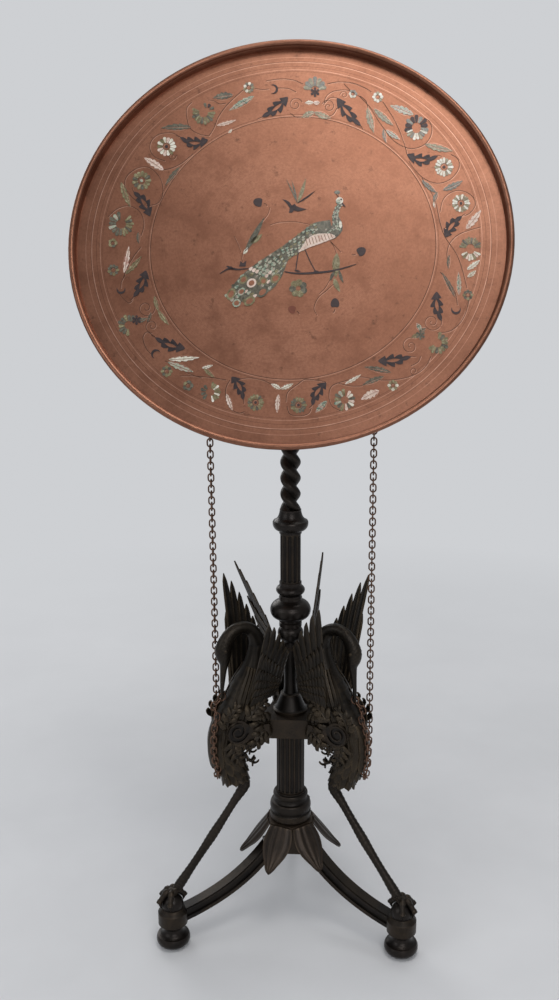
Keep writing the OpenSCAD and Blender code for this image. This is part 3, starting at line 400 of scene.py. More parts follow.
def tube(bag, path, radii, sides=12, start=(0.3, 1, 0.2)):
    path = np.array(path, float)
    ways = np.gradient(path, axis=0)
    angles = np.arange(sides) * math.tau / sides
    n, rings = np.array(start, float), []
    for p, w, r in zip(path, ways, radii):
        w = unit(w)
        n = unit(n - n.dot(w) * w)
        b = np.cross(w, n)
        rings.append([p + r * (math.cos(a) * n + math.sin(a) * b) for a in angles])
    loft(bag, rings)


def blade(bag, line, out, width, thick, camber=0.0, rib=0.0, ribs=1, across=7):
    """A leaf or feather along a line: out is the way its face looks, width its half width at each point."""
    line = np.array(line, float)
    ways = np.gradient(line, axis=0)
    spread, rings = np.linspace(-1, 1, across), []
    for p, w, half in zip(line, ways, width):
        w = unit(w)
        side = unit(np.cross(w, out))
        face = np.cross(side, w)
        if ribs == 1:
            lift = np.exp(-(spread / 0.2) ** 2)
        else:
            lift = 0.5 + 0.5 * np.cos(math.pi * ribs * spread)
        lift = camber * half * (1 - spread ** 2) + rib * lift * min(1, half / 3)
        upper = [p + side * s * half + face * h for s, h in zip(spread, lift)]
        edge = np.minimum(1, (1 - abs(spread)) * 3 + 0.25)
        lower = [q - face * thick * e for q, e in zip(upper, edge)]
        rings.append(upper + lower[::-1])
    loft(bag, rings)


def turned(turn):
    c, s = math.cos(math.radians(turn)), math.sin(math.radians(turn))
    return lambda p: np.array([c * p[0] - s * p[1], s * p[0] + c * p[1], p[2]])


# Tray

# Heights over the sheet in millimetres: lines, shell, dark inlay, and the peacock's ground and layers
LINE_TOP = 0.06
SHELL_TOP = 0.40
DARK_TOP = 0.42
GROUND_TOP = 0.34
BREAST_TOP = 0.60
HEAD_TOP = 0.62
EYE_TOP = 0.66
# Circles on the sheet round the ornament and by the rim: radius, half width and whether it is dark or bright
ORNAMENT_MIDDLE = (3, -6.5)
ORNAMENT_RINGS = ((139.0, 0.34, "dark"), (139.9, 0.26, "bright"), (141.8, 0.16, "dark"))
RIM_RINGS = ((184, 0.14, "dark"), (186.2, 0.28, "bright"), (190, 0.14, "dark"),
             (194.6, 0.42, "bright"), (195.4, 0.16, "dark"), (200.5, 0.2, "bright"))
RING_TOP = 0.05


def flat(x, y, z=0.0):
    """A point over the tray's flat: right and up from its middle, and off it."""
    z += FLAT_Z
    c, s = math.cos(TILT), math.sin(TILT)
    return np.array((x, c * y - s * z, HINGE_Z + s * y + c * z))


def seen(x, y, z=0.0):
    """The point over the tray's flat that the camera shows at a place in the picture."""
    place, turn, middle = np.array(CAMERA_AT) / MM, CAMERA_TURN, PICTURE_MIDDLE
    fall = math.radians(CAMERA_FALL)
    ahead = np.array((-math.sin(turn) * math.cos(fall), math.cos(turn) * math.cos(fall), -math.sin(fall)))
    right = np.array((math.cos(turn), math.sin(turn), 0))
    ray = ahead + right * (x - middle[0]) / FOCAL + np.cross(right, ahead) * (middle[1] - y) / FOCAL
    normal = flat(0, 0, 1) - flat(0, 0)
    return place + ray * (normal.dot(flat(0, 0, z) - place) / normal.dot(ray))


def plate(bag, outline, top, low=0.0):
    """A flat piece of inlay with an outline in the picture."""
    n = len(outline)
    verts = [seen(x, y, low) for x, y in outline] + [seen(x, y, top) for x, y in outline]
    bag.add(verts, [tuple(range(n, 2 * n)), tuple(range(n))[::-1]]
            + [(i, (i + 1) % n, n + (i + 1) % n, n + i) for i in range(n)])


def along(outline, a, b):
    """Lays an outline from a to b: its first numbers are shares of the way, its second go across."""
    a, b = np.array(a, float), np.array(b, float)
    way = unit(b - a)
    side = np.array((-way[1], way[0]))
    return [tuple(a + (b - a) * u + side * v) for u, v in outline]


def placed(outline, x, y, turn):
    c, s = math.cos(math.radians(turn)), math.sin(math.radians(turn))
    return [(x + c * u - s * v, y + s * u + c * v) for u, v in outline]


def leaf_edge(w, notches=0, deep=0.3, n=24):
    """Shares along a leaf and its half widths, with teeth that point to its tip."""
    edge = []
    for i in range(n + 1):
        t = i / n
        half = w / 2 * math.sin(math.pi * t ** 0.85) ** 0.9
        if notches:
            half *= 1 - deep * (1 - (t * notches) % 1) ** 1.7 * min(1, 4 * t, 6 * (1 - t))
        edge.append((t, half))
    return edge


def leaf_line(w, notches=0, bend=0.0, deep=0.3):
    edge = [(t, half, bend * (0.25 - (t - 0.5) ** 2)) for t, half in leaf_edge(w, notches, deep)]
    return [(t, v + b) for t, v, b in edge] + [(t, b - v) for t, v, b in edge[-2:0:-1]]


def petal_line(inner, outer, w):
    """A petal along +X between two radii."""
    pts = []
    for i in range(13):
        a = math.pi * (i / 12 - 0.5)
        pts.append((outer - w / 2 + w / 2 * math.cos(a), w / 2 * math.sin(a)))
    return [(inner, -w * 0.2)] + pts + [(inner, w * 0.2)]


def disc_line(x, y, r, flatten=1.0, turn=0.0, n=16):
    angles = np.arange(n) * math.tau / n
    return placed([(r * math.cos(a), flatten * r * math.sin(a)) for a in angles], x, y, turn)


def strip(bag, points, half, top=LINE_TOP, place=seen):
    """A thin band along points, its half width in their own measure."""
    p = np.array(points, float)
    n = len(p)
    sides = [unit((-w[1], w[0])) * half for w in np.gradient(p, axis=0)]
    verts = [place(*(a + s), top) for a, s in zip(p, sides)]
    verts += [place(*(a - s), top) for a, s in zip(p, sides)]
    bag.add(verts, [(i, i + 1, n + i + 1, n + i) for i in range(n - 1)])


def arc(x, y, r, a, b, n=40, end=None):
    """Points on an arc or, with another radius at its end, on a spiral."""
    end = r if end is None else end
    points = []
    for t in np.linspace(0, 1, n):
        far, turn = r + (end - r) * t, math.radians(a + (b - a) * t)
        points.append((x + far * math.cos(turn), y + far * math.sin(turn)))
    return points


def pairs(*lines):
    """One outline from lines of points."""
    return [tuple(p) for line in lines for p in line]


# Ornament, in pixels of the picture: dark leaves from stem to tip, with their bend
DARK_LEAVES = [
    ((288, 97), (262, 117), -6), ((337, 98), (361, 126), 6), ((407, 154.5), (438, 155.5), 20),
    ((445, 237), (462, 216), -8), ((436.5, 291.5), (441.5, 321), 8), ((378, 361), (411, 356.5), 6),
    ((326, 382.4), (312, 405.5), 10), ((231.8, 376.5), (243.4, 400), -10),
    ((185, 348.5), (155, 337.5), -8), ((146, 270.5), (133.5, 297), -8),
    ((150, 216), (133.5, 191.5), 10), ((208, 140), (180, 137), -18)
]
# Flowers: middle, radius, petals, shells and kind of eye
ROSETTES = [
    (166.5, 146.5, 9.8, 14, "wwpo", "d"), (141.5, 180.5, 9.8, 13, "oog", "a"),
    (444, 167, 9.6, 16, "woww", "d"), (461, 203.2, 9.2, 18, "woow", "d"),
    (298.5, 405, 8.4, 14, "og", "d"), (255.6, 402.5, 8.6, 14, "oog", "d"),
    (377.8, 97, 5.6, 8, "wow", ""), (248.8, 87.5, 5.8, 9, "ogw", ""), (353, 93.8, 4.4, 6, "gw", ""),
    (393, 385.4, 5.6, 8, "woo", ""), (468, 295, 5.4, 8, "ogg", ""), (113.2, 270, 6, 9, "ogg", ""),
    (166.7, 371.3, 6, 8, "oog", ""), (112.7, 243, 4.8, 5, "ogo", ""), (188, 385.6, 5.5, 5, "ggo", "")
]
# Half flowers: middle, radius, first and last angle, petals, shells
FANS = [
    (203.5, 113, 12, 0, 200, 11, "oog"), (207, 110, 7.5, 250, 340, 3, "gd"),
    (416.5, 127, 12.5, 165, 375, 9, "ddg"), (416.5, 129, 11.5, 20, 165, 8, "wgow"),
    (121.5, 224, 12.5, -40, 95, 8, "ogo"), (120.5, 224, 12.5, 110, 260, 7, "gga"),
    (470.5, 248, 11.5, 190, 350, 10, "oog"), (470.5, 250, 11, 25, 150, 8, "wpow"),
    (345, 400, 11.5, 110, 260, 7, "oga"), (345, 400, 10.5, -60, 80, 7, "pwg"),
    (210.5, 392, 10.5, -75, 75, 9, "oow"), (209, 392, 9, 130, 235, 4, "gg"),
    (437.5, 343, 11.5, -75, 145, 10, "ogo"), (128.5, 325, 11, 95, 300, 9, "ogg")
]
# Shell leaves from stem to tip, with width and shell
LEAVES = [
    ((254, 96), (229, 110.5), 6.5, "a"), ((191, 127), (161, 128), 7, "g"),
    ((163.5, 170), (144, 157.5), 7.5, "p"), ((121, 182), (130.5, 207), 6.5, "o"),
    ((180, 167), (165, 186), 5, "g"), ((233, 95), (213, 98), 8, "g"),
    ((217, 125.5), (236, 120), 4, "p"), ((228.5, 133), (232, 129), 2.6, "w"),
    ((138.4, 232), (139, 244), 3.6, "g"), ((413.5, 114.5), (390, 105.5), 8, "a"),
    ((367.5, 107.5), (374, 133), 7, "o"), ((374, 108.5), (393.5, 125.5), 6.5, "o"),
    ((383.5, 129), (386.5, 143), 4, "g"), ((386, 130), (400, 139.5), 5, "a"),
    ((425, 144), (453, 151), 7, "o"), ((443, 190), (463, 180.5), 7, "g"),
    ((422, 180), (437, 193), 5, "g"), ((437.5, 192), (434, 203), 4.5, "g"),
    ((434, 201), (435, 208), 2.4, "w"), ((466, 229), (481, 210), 7.5, "p"),
    ((124, 273), (129, 246), 5.5, "p"), ((125.5, 274), (141.5, 256), 5.5, "o"),
    ((168.5, 359.5), (199.5, 357.5), 5.5, "w"), ((168, 362), (193.5, 372), 6.5, "a"),
    ((202, 368), (213, 365), 3.4, "w"), ((204, 368), (215, 377.5), 4, "o"),
    ((226.5, 394), (232.5, 410.5), 5, "p"), ((280.5, 389), (271, 384), 4.6, "w"),
    ((280.5, 389), (293.5, 383.5), 4.6, "w"), ((278.5, 394.5), (277, 413), 5, "p"),
    ((449.5, 255), (448.5, 269), 3.6, "g"), ((459, 295), (458.5, 272), 5, "a"),
    ((455, 297), (441.5, 272), 4.4, "g"), ((467.5, 277), (476, 270.5), 5, "w"),
    ((467, 269.5), (480, 260), 5.5, "w"), ((391, 372.5), (364, 367), 5.5, "g"),
    ((345, 384), (361, 374.5), 3.8, "w"), ((384, 376.5), (362, 385.5), 5.5, "g"),
    ((379, 390.5), (361, 399.5), 8.5, "p"), ((327, 401), (315.5, 412.5), 6.5, "a"),
    ((154.5, 296), (159, 312), 4.5, "o"), ((158, 310), (169, 325), 5, "o"),
    ((420, 335), (411, 338), 5, "o"), ((421, 331), (416.5, 323), 5, "a"),
    ((314.5, 112), (301.5, 117.8), 6.5, "o"), ((314.5, 112), (331, 118), 6.5, "o"),
    ((313.5, 102.6), (304.8, 103), 4.4, "w"), ((313.5, 102.6), (320, 102.4), 4.6, "p"),
    ((136, 321), (147, 318), 5, "g"), ((147, 322), (151, 312), 3.6, "g"),
    ((420, 330.5), (426, 328), 4.4, "g")
]
# Palmette at the top, flower under the peacock, and small stars with their inlay
PALMETTE = (315, 90)
INNER_FLOWER = (298.3, 288.3)
STARS = [(315, 92, "d"), (420.5, 335, "g"), (136.5, 320, "d")]
# Crescents: middle, radius and turn
MOONS = [
    (273.5, 89, 4.6, 0), (121, 289.5, 4.4, 90), (155.8, 354, 4.8, 225), (456, 309.5, 4.8, 90)
]
# Fruit: middle, size, turn and inlay
HEARTS = [
    (259, 202.3, 4.2, 10, "d"), (360.5, 251.7, 4.2, 150, "d"), (335, 304, 4.2, 90, "d"),
    (292.8, 309.7, 3.6, 20, "r")
]
# Engraved stems
VINES = [
    [(344, 84), (352, 92), (360, 97), (367, 104), (372, 110), (378, 120), (385, 130), (392, 139),
     (400, 145), (410, 148.5), (420, 147), (428, 141), (432, 131), (430, 122), (424, 118)],
    [(383, 102), (389, 111), (395, 121), (400, 132), (405, 146), (407, 154)],
    [(409, 161), (415, 170), (422, 177), (431, 182), (441, 183),
     (452, 178), (459, 168), (458, 159), (451, 154.5)],
    [(440, 212), (443, 200), (450, 193), (460, 190.5), (471, 195),
     (475.5, 204), (470, 213), (461, 217), (452, 222), (444, 229)],
    [(422, 178), (430, 190), (436, 203), (438.5, 215), (441, 226),
     (445, 237), (452, 247), (458, 257), (463, 272), (467, 288)],
    [(481, 227), (470, 230), (458, 235), (450, 243), (447, 253), (448, 262)],
    [(469, 300), (466, 312), (460, 323), (450, 331), (437, 333)],
    [(440, 272), (448, 281), (455, 292), (457.5, 305)],
    [(431, 356), (426, 366), (416, 374), (400, 379), (380, 380), (360, 377),
     (345, 381), (332, 386), (329, 396), (332, 406), (341, 411)],
    [(421, 356), (418, 362), (411, 366)],
    [(326, 382), (318, 380.5), (305, 379.5), (298, 384), (288, 392), (286, 402)],
    [(312, 405), (309, 413), (300, 416), (290, 414), (287, 406)], [(362, 386), (350, 386), (338, 383)],
    [(271, 384), (262, 380), (250, 378), (240, 379)],
    [(230, 380), (226, 388), (226, 398), (230, 408), (238, 413), (244, 412)],
    [(226, 380), (215, 378), (205, 377), (193, 376), (180, 376)],
    [(155, 337), (147, 332), (143, 338), (146, 348), (151, 354)],
    [(165, 361), (176, 366), (190, 374), (202, 378)], [(133, 299), (129, 303), (122, 297), (118, 290)],
    [(125, 275), (121.5, 282), (121, 288)], [(141, 247), (134, 256), (127, 268), (123.5, 278)],
    [(146, 206), (158, 203), (163, 192), (160, 178), (150, 168),
     (138, 168), (127, 176), (125, 186), (131, 196), (139, 203)],
    [(141, 236), (144, 224), (140, 212), (129, 206), (117, 209), (108, 217)],
    [(209, 136), (214, 128), (219, 116), (228, 104), (243, 90)],
    [(209, 136), (199, 134), (190, 128), (187, 118), (187, 108), (192, 102)],
    [(180, 137), (172, 133), (160, 134), (152, 140), (150, 149), (155, 157), (165, 161)],
    [(163, 170), (172, 168), (182, 163), (193, 154)], [(208, 100), (214, 101), (220, 104), (226, 103)],
    [(255, 88.5), (262, 89.5), (269, 89)], [(303, 84), (293, 80), (280, 79), (266, 81)],
    [(278, 88), (288, 88.5), (296, 92)], [(327, 84), (338, 82), (352, 83), (363, 87), (371.5, 92)],
    [(337, 98), (330, 98), (325, 103)], [(324, 105), (326, 97), (333, 91.5), (344, 90), (350, 91)],
    [(368, 108), (366, 101), (360, 96)], [(304, 117), (296, 117), (290, 113)],
    [(326, 117), (333, 114.5), (337, 108)]
]
# Engraved curls: middle, radius, first and last angle
SPIRALS = [
    (328.5, 106.5, 7, 200, 720), (295.5, 104.5, 7, -20, -560), (432, 322, 9, 30, 600),
    (410.5, 346, 9, -60, -620), (344, 95, 4, 180, 620), (146, 308, 9, 0, 540), (152, 326, 7, 90, 600),
    (172, 156, 4, 0, 400), (414, 371, 4, 90, 480)
]
# Peacock: line of its back and train
PEACOCK_BACK = [
    (330, 220), (315, 222.5), (308, 227), (295, 236.7), (281.7, 246.7), (265, 257.5), (250.8, 267.5),
    (238, 279), (227, 294)
]
# Peacock: line under its body and train
PEACOCK_UNDER = [
    (334, 236), (322, 242), (308, 247.5), (297, 254), (288.3, 260), (284.5, 270), (279.5, 280),
    (268, 292), (238, 303)
]
# Peacock: middle of its neck, from the head
PEACOCK_NECK = [
    (341, 203.5), (338.2, 207), (336.2, 212), (335.4, 217), (337, 223), (336.5, 229), (330, 234)
]
# Peacock: outline of its breast
PEACOCK_BREAST = [
    (298, 252.6), (303, 245), (307.5, 238.6), (315, 234.4), (324, 233.4), (331.7, 234), (335.5, 237),
    (330, 240), (319, 244), (308, 248)
]
# Peacock: eyes of its train by middle, half sizes, turn and shell
TRAIN_EYES = [
    (231, 294, 6.4, 3.9, -62, "o"), (236.6, 303, 4.4, 3.9, -40, "a"), (249.5, 301, 6.2, 4.2, -35, "o"),
    (262.5, 292, 6.6, 4.2, -40, "g"), (275.5, 278.4, 5.6, 4.0, -45, "o"),
    (263.5, 281, 4.0, 3.4, -50, "o"), (251.5, 283, 5.2, 4.2, -40, "p"),
    (243.5, 279.6, 4.8, 3.4, -50, "o"), (241.5, 291.5, 4.4, 3.2, -50, "a")
]
# Peacock: legs
PEACOCK_LEGS = [
    [(298.5, 252), (297, 261), (295.8, 270)], [(305, 249.5), (309.5, 260), (315, 270.5)]
]
# Branch on both sides of the train
BRANCHES = [
    [(219.8, 273.6), (229, 268.6), (238, 269.4), (249, 268.2)],
    [(284.5, 271.6), (295, 273.2), (308, 273.2), (330, 271.2), (345, 267.6), (356.4, 264)]
]
# Leaves round the peacock from stem to tip, with width and inlay
INNER_LEAVES = [
    ((244.5, 252), (264.4, 217), 5.5, "g"), ((250, 243), (262.5, 234), 5.5, "o"),
    ((243.4, 254), (247.5, 247), 3.4, "w"), ((337, 253), (336, 278), 7.5, "o"),
    ((334, 278), (340, 292), 5, "o"), ((339, 270), (343.5, 283), 3.2, "g"),
    ((335, 271), (330, 281), 3.2, "g"), ((297.5, 203), (306, 178), 3.6, "o"),
    ((297, 203), (291.5, 180), 1.8, "g"), ((297, 203), (286, 179), 1.4, "g"),
    ((297.5, 203), (315.5, 190.5), 1.7, "d")
]
# Engraved stems round the peacock
INNER_STEMS = [
    [(311, 225), (300, 222.5), (291.7, 221.7), (278.3, 222.5), (270, 225)],
    [(330, 241), (334, 247), (337, 255)], [(243, 253), (242, 258), (242.6, 262)],
    [(331, 278), (325, 288), (319, 294)], [(336, 282), (327, 290), (318, 298), (314, 308), (317, 315)],
    [(330, 241), (335, 246), (341, 252)], [(262, 222), (268, 214), (270, 207)],
    [(234, 236), (238, 244), (241, 252)]
]
# Outline of the small bird over the peacock
SWALLOW = [
    (282.4, 199.2), (286, 200), (289.6, 202), (292, 205.6), (294.4, 203.6), (296.5, 206),
    (299.5, 207.2), (306.6, 209.2), (302, 210.6), (298, 211.4), (294, 210.4), (292, 212.6),
    (289, 212.8), (289.6, 208), (287, 203.6)
]


def dress_tray():
    bags = {k: Bag() for k in INLAY}
    # light collects the painted highlights beside lines and leaves, and the bright rings
    lines, light = Bag(), Bag()

    def engrave_with_highlight(points, half=0.42, top=LINE_TOP):
        """A dark engraved line with a painted highlight beside it, offset to one side."""
        points = np.array(points, float)
        # Painted highlight: a pale strip beside the line
        strip(light, points + 0.55, half * 0.8, top - 0.01)
        strip(lines, points, half, top)

    for a, b, bend in DARK_LEAVES:
        edge = leaf_edge(13.5, 4, 0.6, 60)
        slit = [1.7 * math.sin(math.pi * min(1, max(0, (t - 0.26) / 0.40))) ** 0.8 for t, _ in edge]
        bow = [bend * (0.25 - (t - 0.5) ** 2) for t, _ in edge]
        for hand in (-1, 1):
            outer = [(t, o + hand * max(h, w + 0.25)) for (t, h), w, o in zip(edge, slit, bow)]
            inner = [(t, o + hand * w) for (t, _), w, o in zip(edge, slit, bow)]
            plate(bags["d"], along(outer + inner[-2:0:-1], a, b), DARK_TOP)
        engrave_with_highlight(along([(0.98, 0), (1.06, 0.3), (1.14, 1.2)], a, b), 0.4, 0.1)
    for x, y, r, count, shells, eye in ROSETTES:
        for i in range(count):
            kind = shells[(i * 5 // 3) % len(shells)]
            petal = petal_line(0.40 * r, r * (1 - 0.05 * (i % 2)), 4.6 * r / count)
            plate(bags[kind], placed(petal, x, y, 360 * i / count), SHELL_TOP)
        engrave_with_highlight(disc_line(x, y, 0.34 * r) + [(x + 0.34 * r, y)], 0.25)
        if eye:
            plate(bags[eye], disc_line(x, y, 0.16 * r), DARK_TOP)
    for x, y, r, first, last, count, shells in FANS:
        for i in range(count):
            turn = first + (last - first) * i / (count - 1)
            wide = max(2.0, 0.8 * r * math.radians(abs(last - first)) / count)
            petal = petal_line(0.36 * r, r * (1 - 0.08 * (i % 2)), wide)
            plate(bags[shells[i % len(shells)]], placed(petal, x, y, turn), SHELL_TOP)
    for a, b, wide, kind in LEAVES:
        bend = 3.0 if kind in "og" else 1.6
        plate(bags[kind], along(leaf_line(wide, 5, bend, 0.45), a, b), SHELL_TOP - 0.01)
        engrave_with_highlight(along([(0.06, 0.04 * bend), (0.5, 0.25 * bend), (0.9, 0.06 * bend)], a, b), 0.16, DARK_TOP)
        # Painted highlight along one edge of the leaf
        strip(light, along([(t, 0.25 * bend - v - 0.5) for t, v in leaf_edge(wide)], a, b), 0.22)
    for i in range(-3, 4):
        petal = placed(petal_line(4, 13.6 - 0.6 * abs(i), 4.2), *PALMETTE, -90 + 25 * i)
        plate(bags["o" if i % 2 else "g"], petal, SHELL_TOP)
    for x, y, kind in STARS:
        for turn in (-90, -30, 30, 90, 150, 210):
            plate(bags[kind], placed(petal_line(0.4, 4.8, 2.6), x, y, turn), DARK_TOP)
    for x, y, r, turn in MOONS:
        moon = arc(0, 0, r, -115, 115, 22) + arc(-0.35 * r, 0, 0.86 * r, 98, -98, 20)
        plate(bags["d"], placed(moon, x, y, turn), SHELL_TOP)
    for x, y, r, turn, kind in HEARTS:
        outline = [(r * (1.05 * math.cos(a) - 0.35 * math.cos(2 * a)),
                    r * math.sin(a) * (1 - 0.3 * math.cos(a))) for a in np.arange(24) * math.tau / 24]
        plate(bags[kind], placed(outline, x, y, turn), DARK_TOP)
        engrave_with_highlight(placed([(1.2 * r, 0), (1.7 * r, 0.15 * r), (2.1 * r, 0.5 * r)], x, y, turn), 0.45, 0.3)
    for vine in VINES:
        engrave_with_highlight(smooth(vine, 8))
    for x, y, r, a, b in SPIRALS:
        engrave_with_highlight(arc(x, y, r, a, b, 60, 0.8), 0.36)
    for middle, rings in ((ORNAMENT_MIDDLE, ORNAMENT_RINGS), ((0, 0), RIM_RINGS)):
        for r, half, tone in rings:
            ring = np.array(middle) + np.array(arc(0, 0, r, 0, 360, 240))
            strip(lines if tone == "dark" else light, ring, half, RING_TOP, flat)
    draw_peacock(bags, engrave_with_highlight)
    hides = {"d": ("dark_leaves", "dark_branch"), "o": ("shell_palmettes",), "w": ("shell_rosettes",),
             "a": ("shell_peacock",)}
    for kind, bag in bags.items():
        slot = {"d": "dark_inlay", "r": "dark_inlay", "c": "copper_sheet"}.get(kind, "shell_inlay")
        bag.put("inlay_" + INLAY[kind].name, INLAY[kind], slot, "tray", hides.get(kind, ()), smooth=False)
    lines.put("engraved_lines", ENGRAVED, "copper_sheet", "tray", smooth=False)
    # Painted highlights and the bright rings, in one piece
    light.put("painted_highlights_and_pale_bands", HIGHLIGHT_AND_PALE_COPPER, "copper_sheet", "tray", smooth=False)


def scales(bags, rows, size, kinds, top):
    """Rows of overlapping scales, each row given by its two ends, laid from the last row to the first."""
    for i, (a, b) in reversed(list(enumerate(rows))):
        a, b = np.array(a, float), np.array(b, float)
        count = max(2, round(np.linalg.norm(b - a) / size))
        after, before = rows[min(i + 1, len(rows) - 1)], rows[max(i - 1, 0)]
        way = np.sum(after, axis=0) - np.sum(before, axis=0)
        turn = math.degrees(math.atan2(way[1], way[0]))
        for j in range(count):
            x, y = a + (b - a) * (j + 0.5 + 0.25 * (-1) ** i) / count
            scale = placed(petal_line(-0.3 * size, 0.95 * size, 0.86 * size), x, y, turn)
            plate(bags[rng.choice(kinds)], scale, top + 0.006 * (len(rows) - i))


def draw_peacock(bags, engrave_with_highlight):
    """A peacock on a branch, in scales of shell on a dark ground."""
    upper = smooth(PEACOCK_BACK, 6)
    lower = smooth(PEACOCK_UNDER, 6)
    rows = list(zip(upper, lower))
    plate(bags["g"], pairs(upper, lower[::-1]), GROUND_TOP)
    scales(bags, rows[6:40:2], 2.6, "agaoag", DARK_TOP)
    scales(bags, rows[30::2], 3.6, "agoagp", SHELL_TOP)
    neck = smooth(PEACOCK_NECK, 5)
    half = np.interp(np.linspace(0, 1, len(neck)), [0, 0.2, 0.5, 0.75, 1], [2.2, 2.4, 3.2, 5.4, 6.4])
    sides = np.array([unit((-w[1], w[0])) for w in np.gradient(neck, axis=0)]) * half[:, None]
    plate(bags["g"], pairs(neck + sides, (neck - sides)[::-1]), GROUND_TOP + 0.02)
    scales(bags, list(zip(neck + sides, neck - sides))[::2], 1.9, "aagga", DARK_TOP + 0.02)
    plume = [(340, 220.5), (341.6, 222), (342, 226), (340.6, 228.6), (339, 226), (339.2, 222)]
    plate(bags["w"], plume, HEAD_TOP)
    plate(bags["p"], pairs(smooth(PEACOCK_BREAST + PEACOCK_BREAST[:1], 4)[:-1]), BREAST_TOP)
    for i in range(9):
        x, y = 306 + 3.1 * i, 241.5 - 0.75 * i
        line = [(x - 0.6, y - 3.6 + 0.1 * i), (x + 0.4, y), (x + 1.5, y + 3.8 - 0.15 * i)]
        engrave_with_highlight(line, 0.22, HEAD_TOP + 0.02)
    plate(bags["w"], disc_line(339.6, 200.6, 3.6, 0.95), HEAD_TOP)
    plate(bags["a"], disc_line(338.4, 201.6, 2.4, 0.9), HEAD_TOP + 0.02)
    plate(bags["d"], disc_line(341.2, 199.4, 0.9), EYE_TOP)
    beak = [(342.2, 202.4), (344, 204), (345.8, 207), (343.2, 205.6), (341.6, 204)]
    plate(bags["d"], beak, HEAD_TOP + 0.02)
    plate(bags["g"], disc_line(337.2, 192.2, 3.0, 0.62), DARK_TOP)
    for dx in (-1.2, 0, 1.2):
        engrave_with_highlight([(338.6, 197.5), (337.8 + 0.6 * dx, 195.5), (337.2 + dx, 193.6)], 0.25, 0.3)
    for x, y, w, h, turn, kind in TRAIN_EYES:
        plate(bags[kind], disc_line(x, y, w, h / w, turn, 22), EYE_TOP)
        plate(bags["c"], disc_line(x, y, 0.62 * w, h / w, turn, 18), EYE_TOP + 0.02)
    for leg in PEACOCK_LEGS:
        line = smooth(leg, 6)
        plate(bags["d"], [(x - 0.55, y) for x, y in line] + [(x + 0.55, y) for x, y in line[::-1]], DARK_TOP)
        x, y = leg[-1]
        plate(bags["d"], along(leaf_line(1.8), (x - 1.5, y + 0.4), (x + 5, y + 1.4)), DARK_TOP + 0.01)
    for line in BRANCHES:
        path = smooth(line, 8)
        wide = 0.25 + 0.75 * np.sin(np.linspace(0.25, math.pi, len(path)))
        half = wide[:, None] * np.array((0, 1.0))
        plate(bags["d"], pairs(path - half, (path + half)[::-1]), DARK_TOP + 0.01)
    bud = [(239, 266.5), (240.5, 261), (243, 263), (246.5, 260.5), (245.5, 266.5)]
    plate(bags["d"], bud, DARK_TOP)
    plate(bags["d"], along(leaf_line(3.4, 2, 0, 0.5), (234, 269), (226, 266)), DARK_TOP + 0.01)
    for a, b, wide, kind in INNER_LEAVES:
        plate(bags[kind], along(leaf_line(wide, 0, 2.0), a, b), SHELL_TOP)
    plate(bags["d"], SWALLOW, DARK_TOP)
    for i in range(7):
        petal = placed(petal_line(2.4, 9.2, 6.6), *INNER_FLOWER, 360 * i / 7 + 20)
        plate(bags["o" if i % 3 else "g"], petal, SHELL_TOP - 0.02 * (1 - i % 2))
    for line in INNER_STEMS:
        engrave_with_highlight(smooth(line, 6), 0.34)


dress_tray()


# Storks

# Middle of beak, head, neck and body: out, up, half depth and share of the half width
SPINE = [
    (82, 96, 1.5, 0.1), (81, 110, 2.4, 0.14), (79.5, 126, 3.6, 0.2), (78.5, 134, 5, 0.3),
    (79, 142, 8.2, 0.43), (79, 150, 9, 0.47), (76, 159, 7.8, 0.41), (69, 167.5, 6.8, 0.37),
    (58, 171, 6.4, 0.36), (47, 166.5, 7, 0.39), (41, 155, 8.4, 0.46), (40, 140, 10.5, 0.6),
    (44, 121, 14, 0.82), (53, 101, 17, 1), (64, 79, 18, 1), (75, 56, 20.5, 0.88), (78, 34, 17, 0.7),
    (72, 15, 13.5, 0.56), (65, 0, 10, 0.44)
]
BODY_HALF = 17
# Rows of loose feathers round the lower body: first row of the spine, length, count, half width and curl
TUFTS = ((132, 17, 14, 4.4, 2.2), (140, 15, 13, 4.4, 3.0), (148, 13, 12, 4.2, 4.2), (155, 10, 11, 3.8, 3.4))


def feather_width(n, half, taper=0.66):
    t = np.linspace(0, 1, n)
    tip = np.clip((t - taper) / (1 - taper), 0, 1)
    return half * np.minimum(1, 0.45 + 1.6 * t) * np.sqrt(1 - tip ** 2) + 0.15


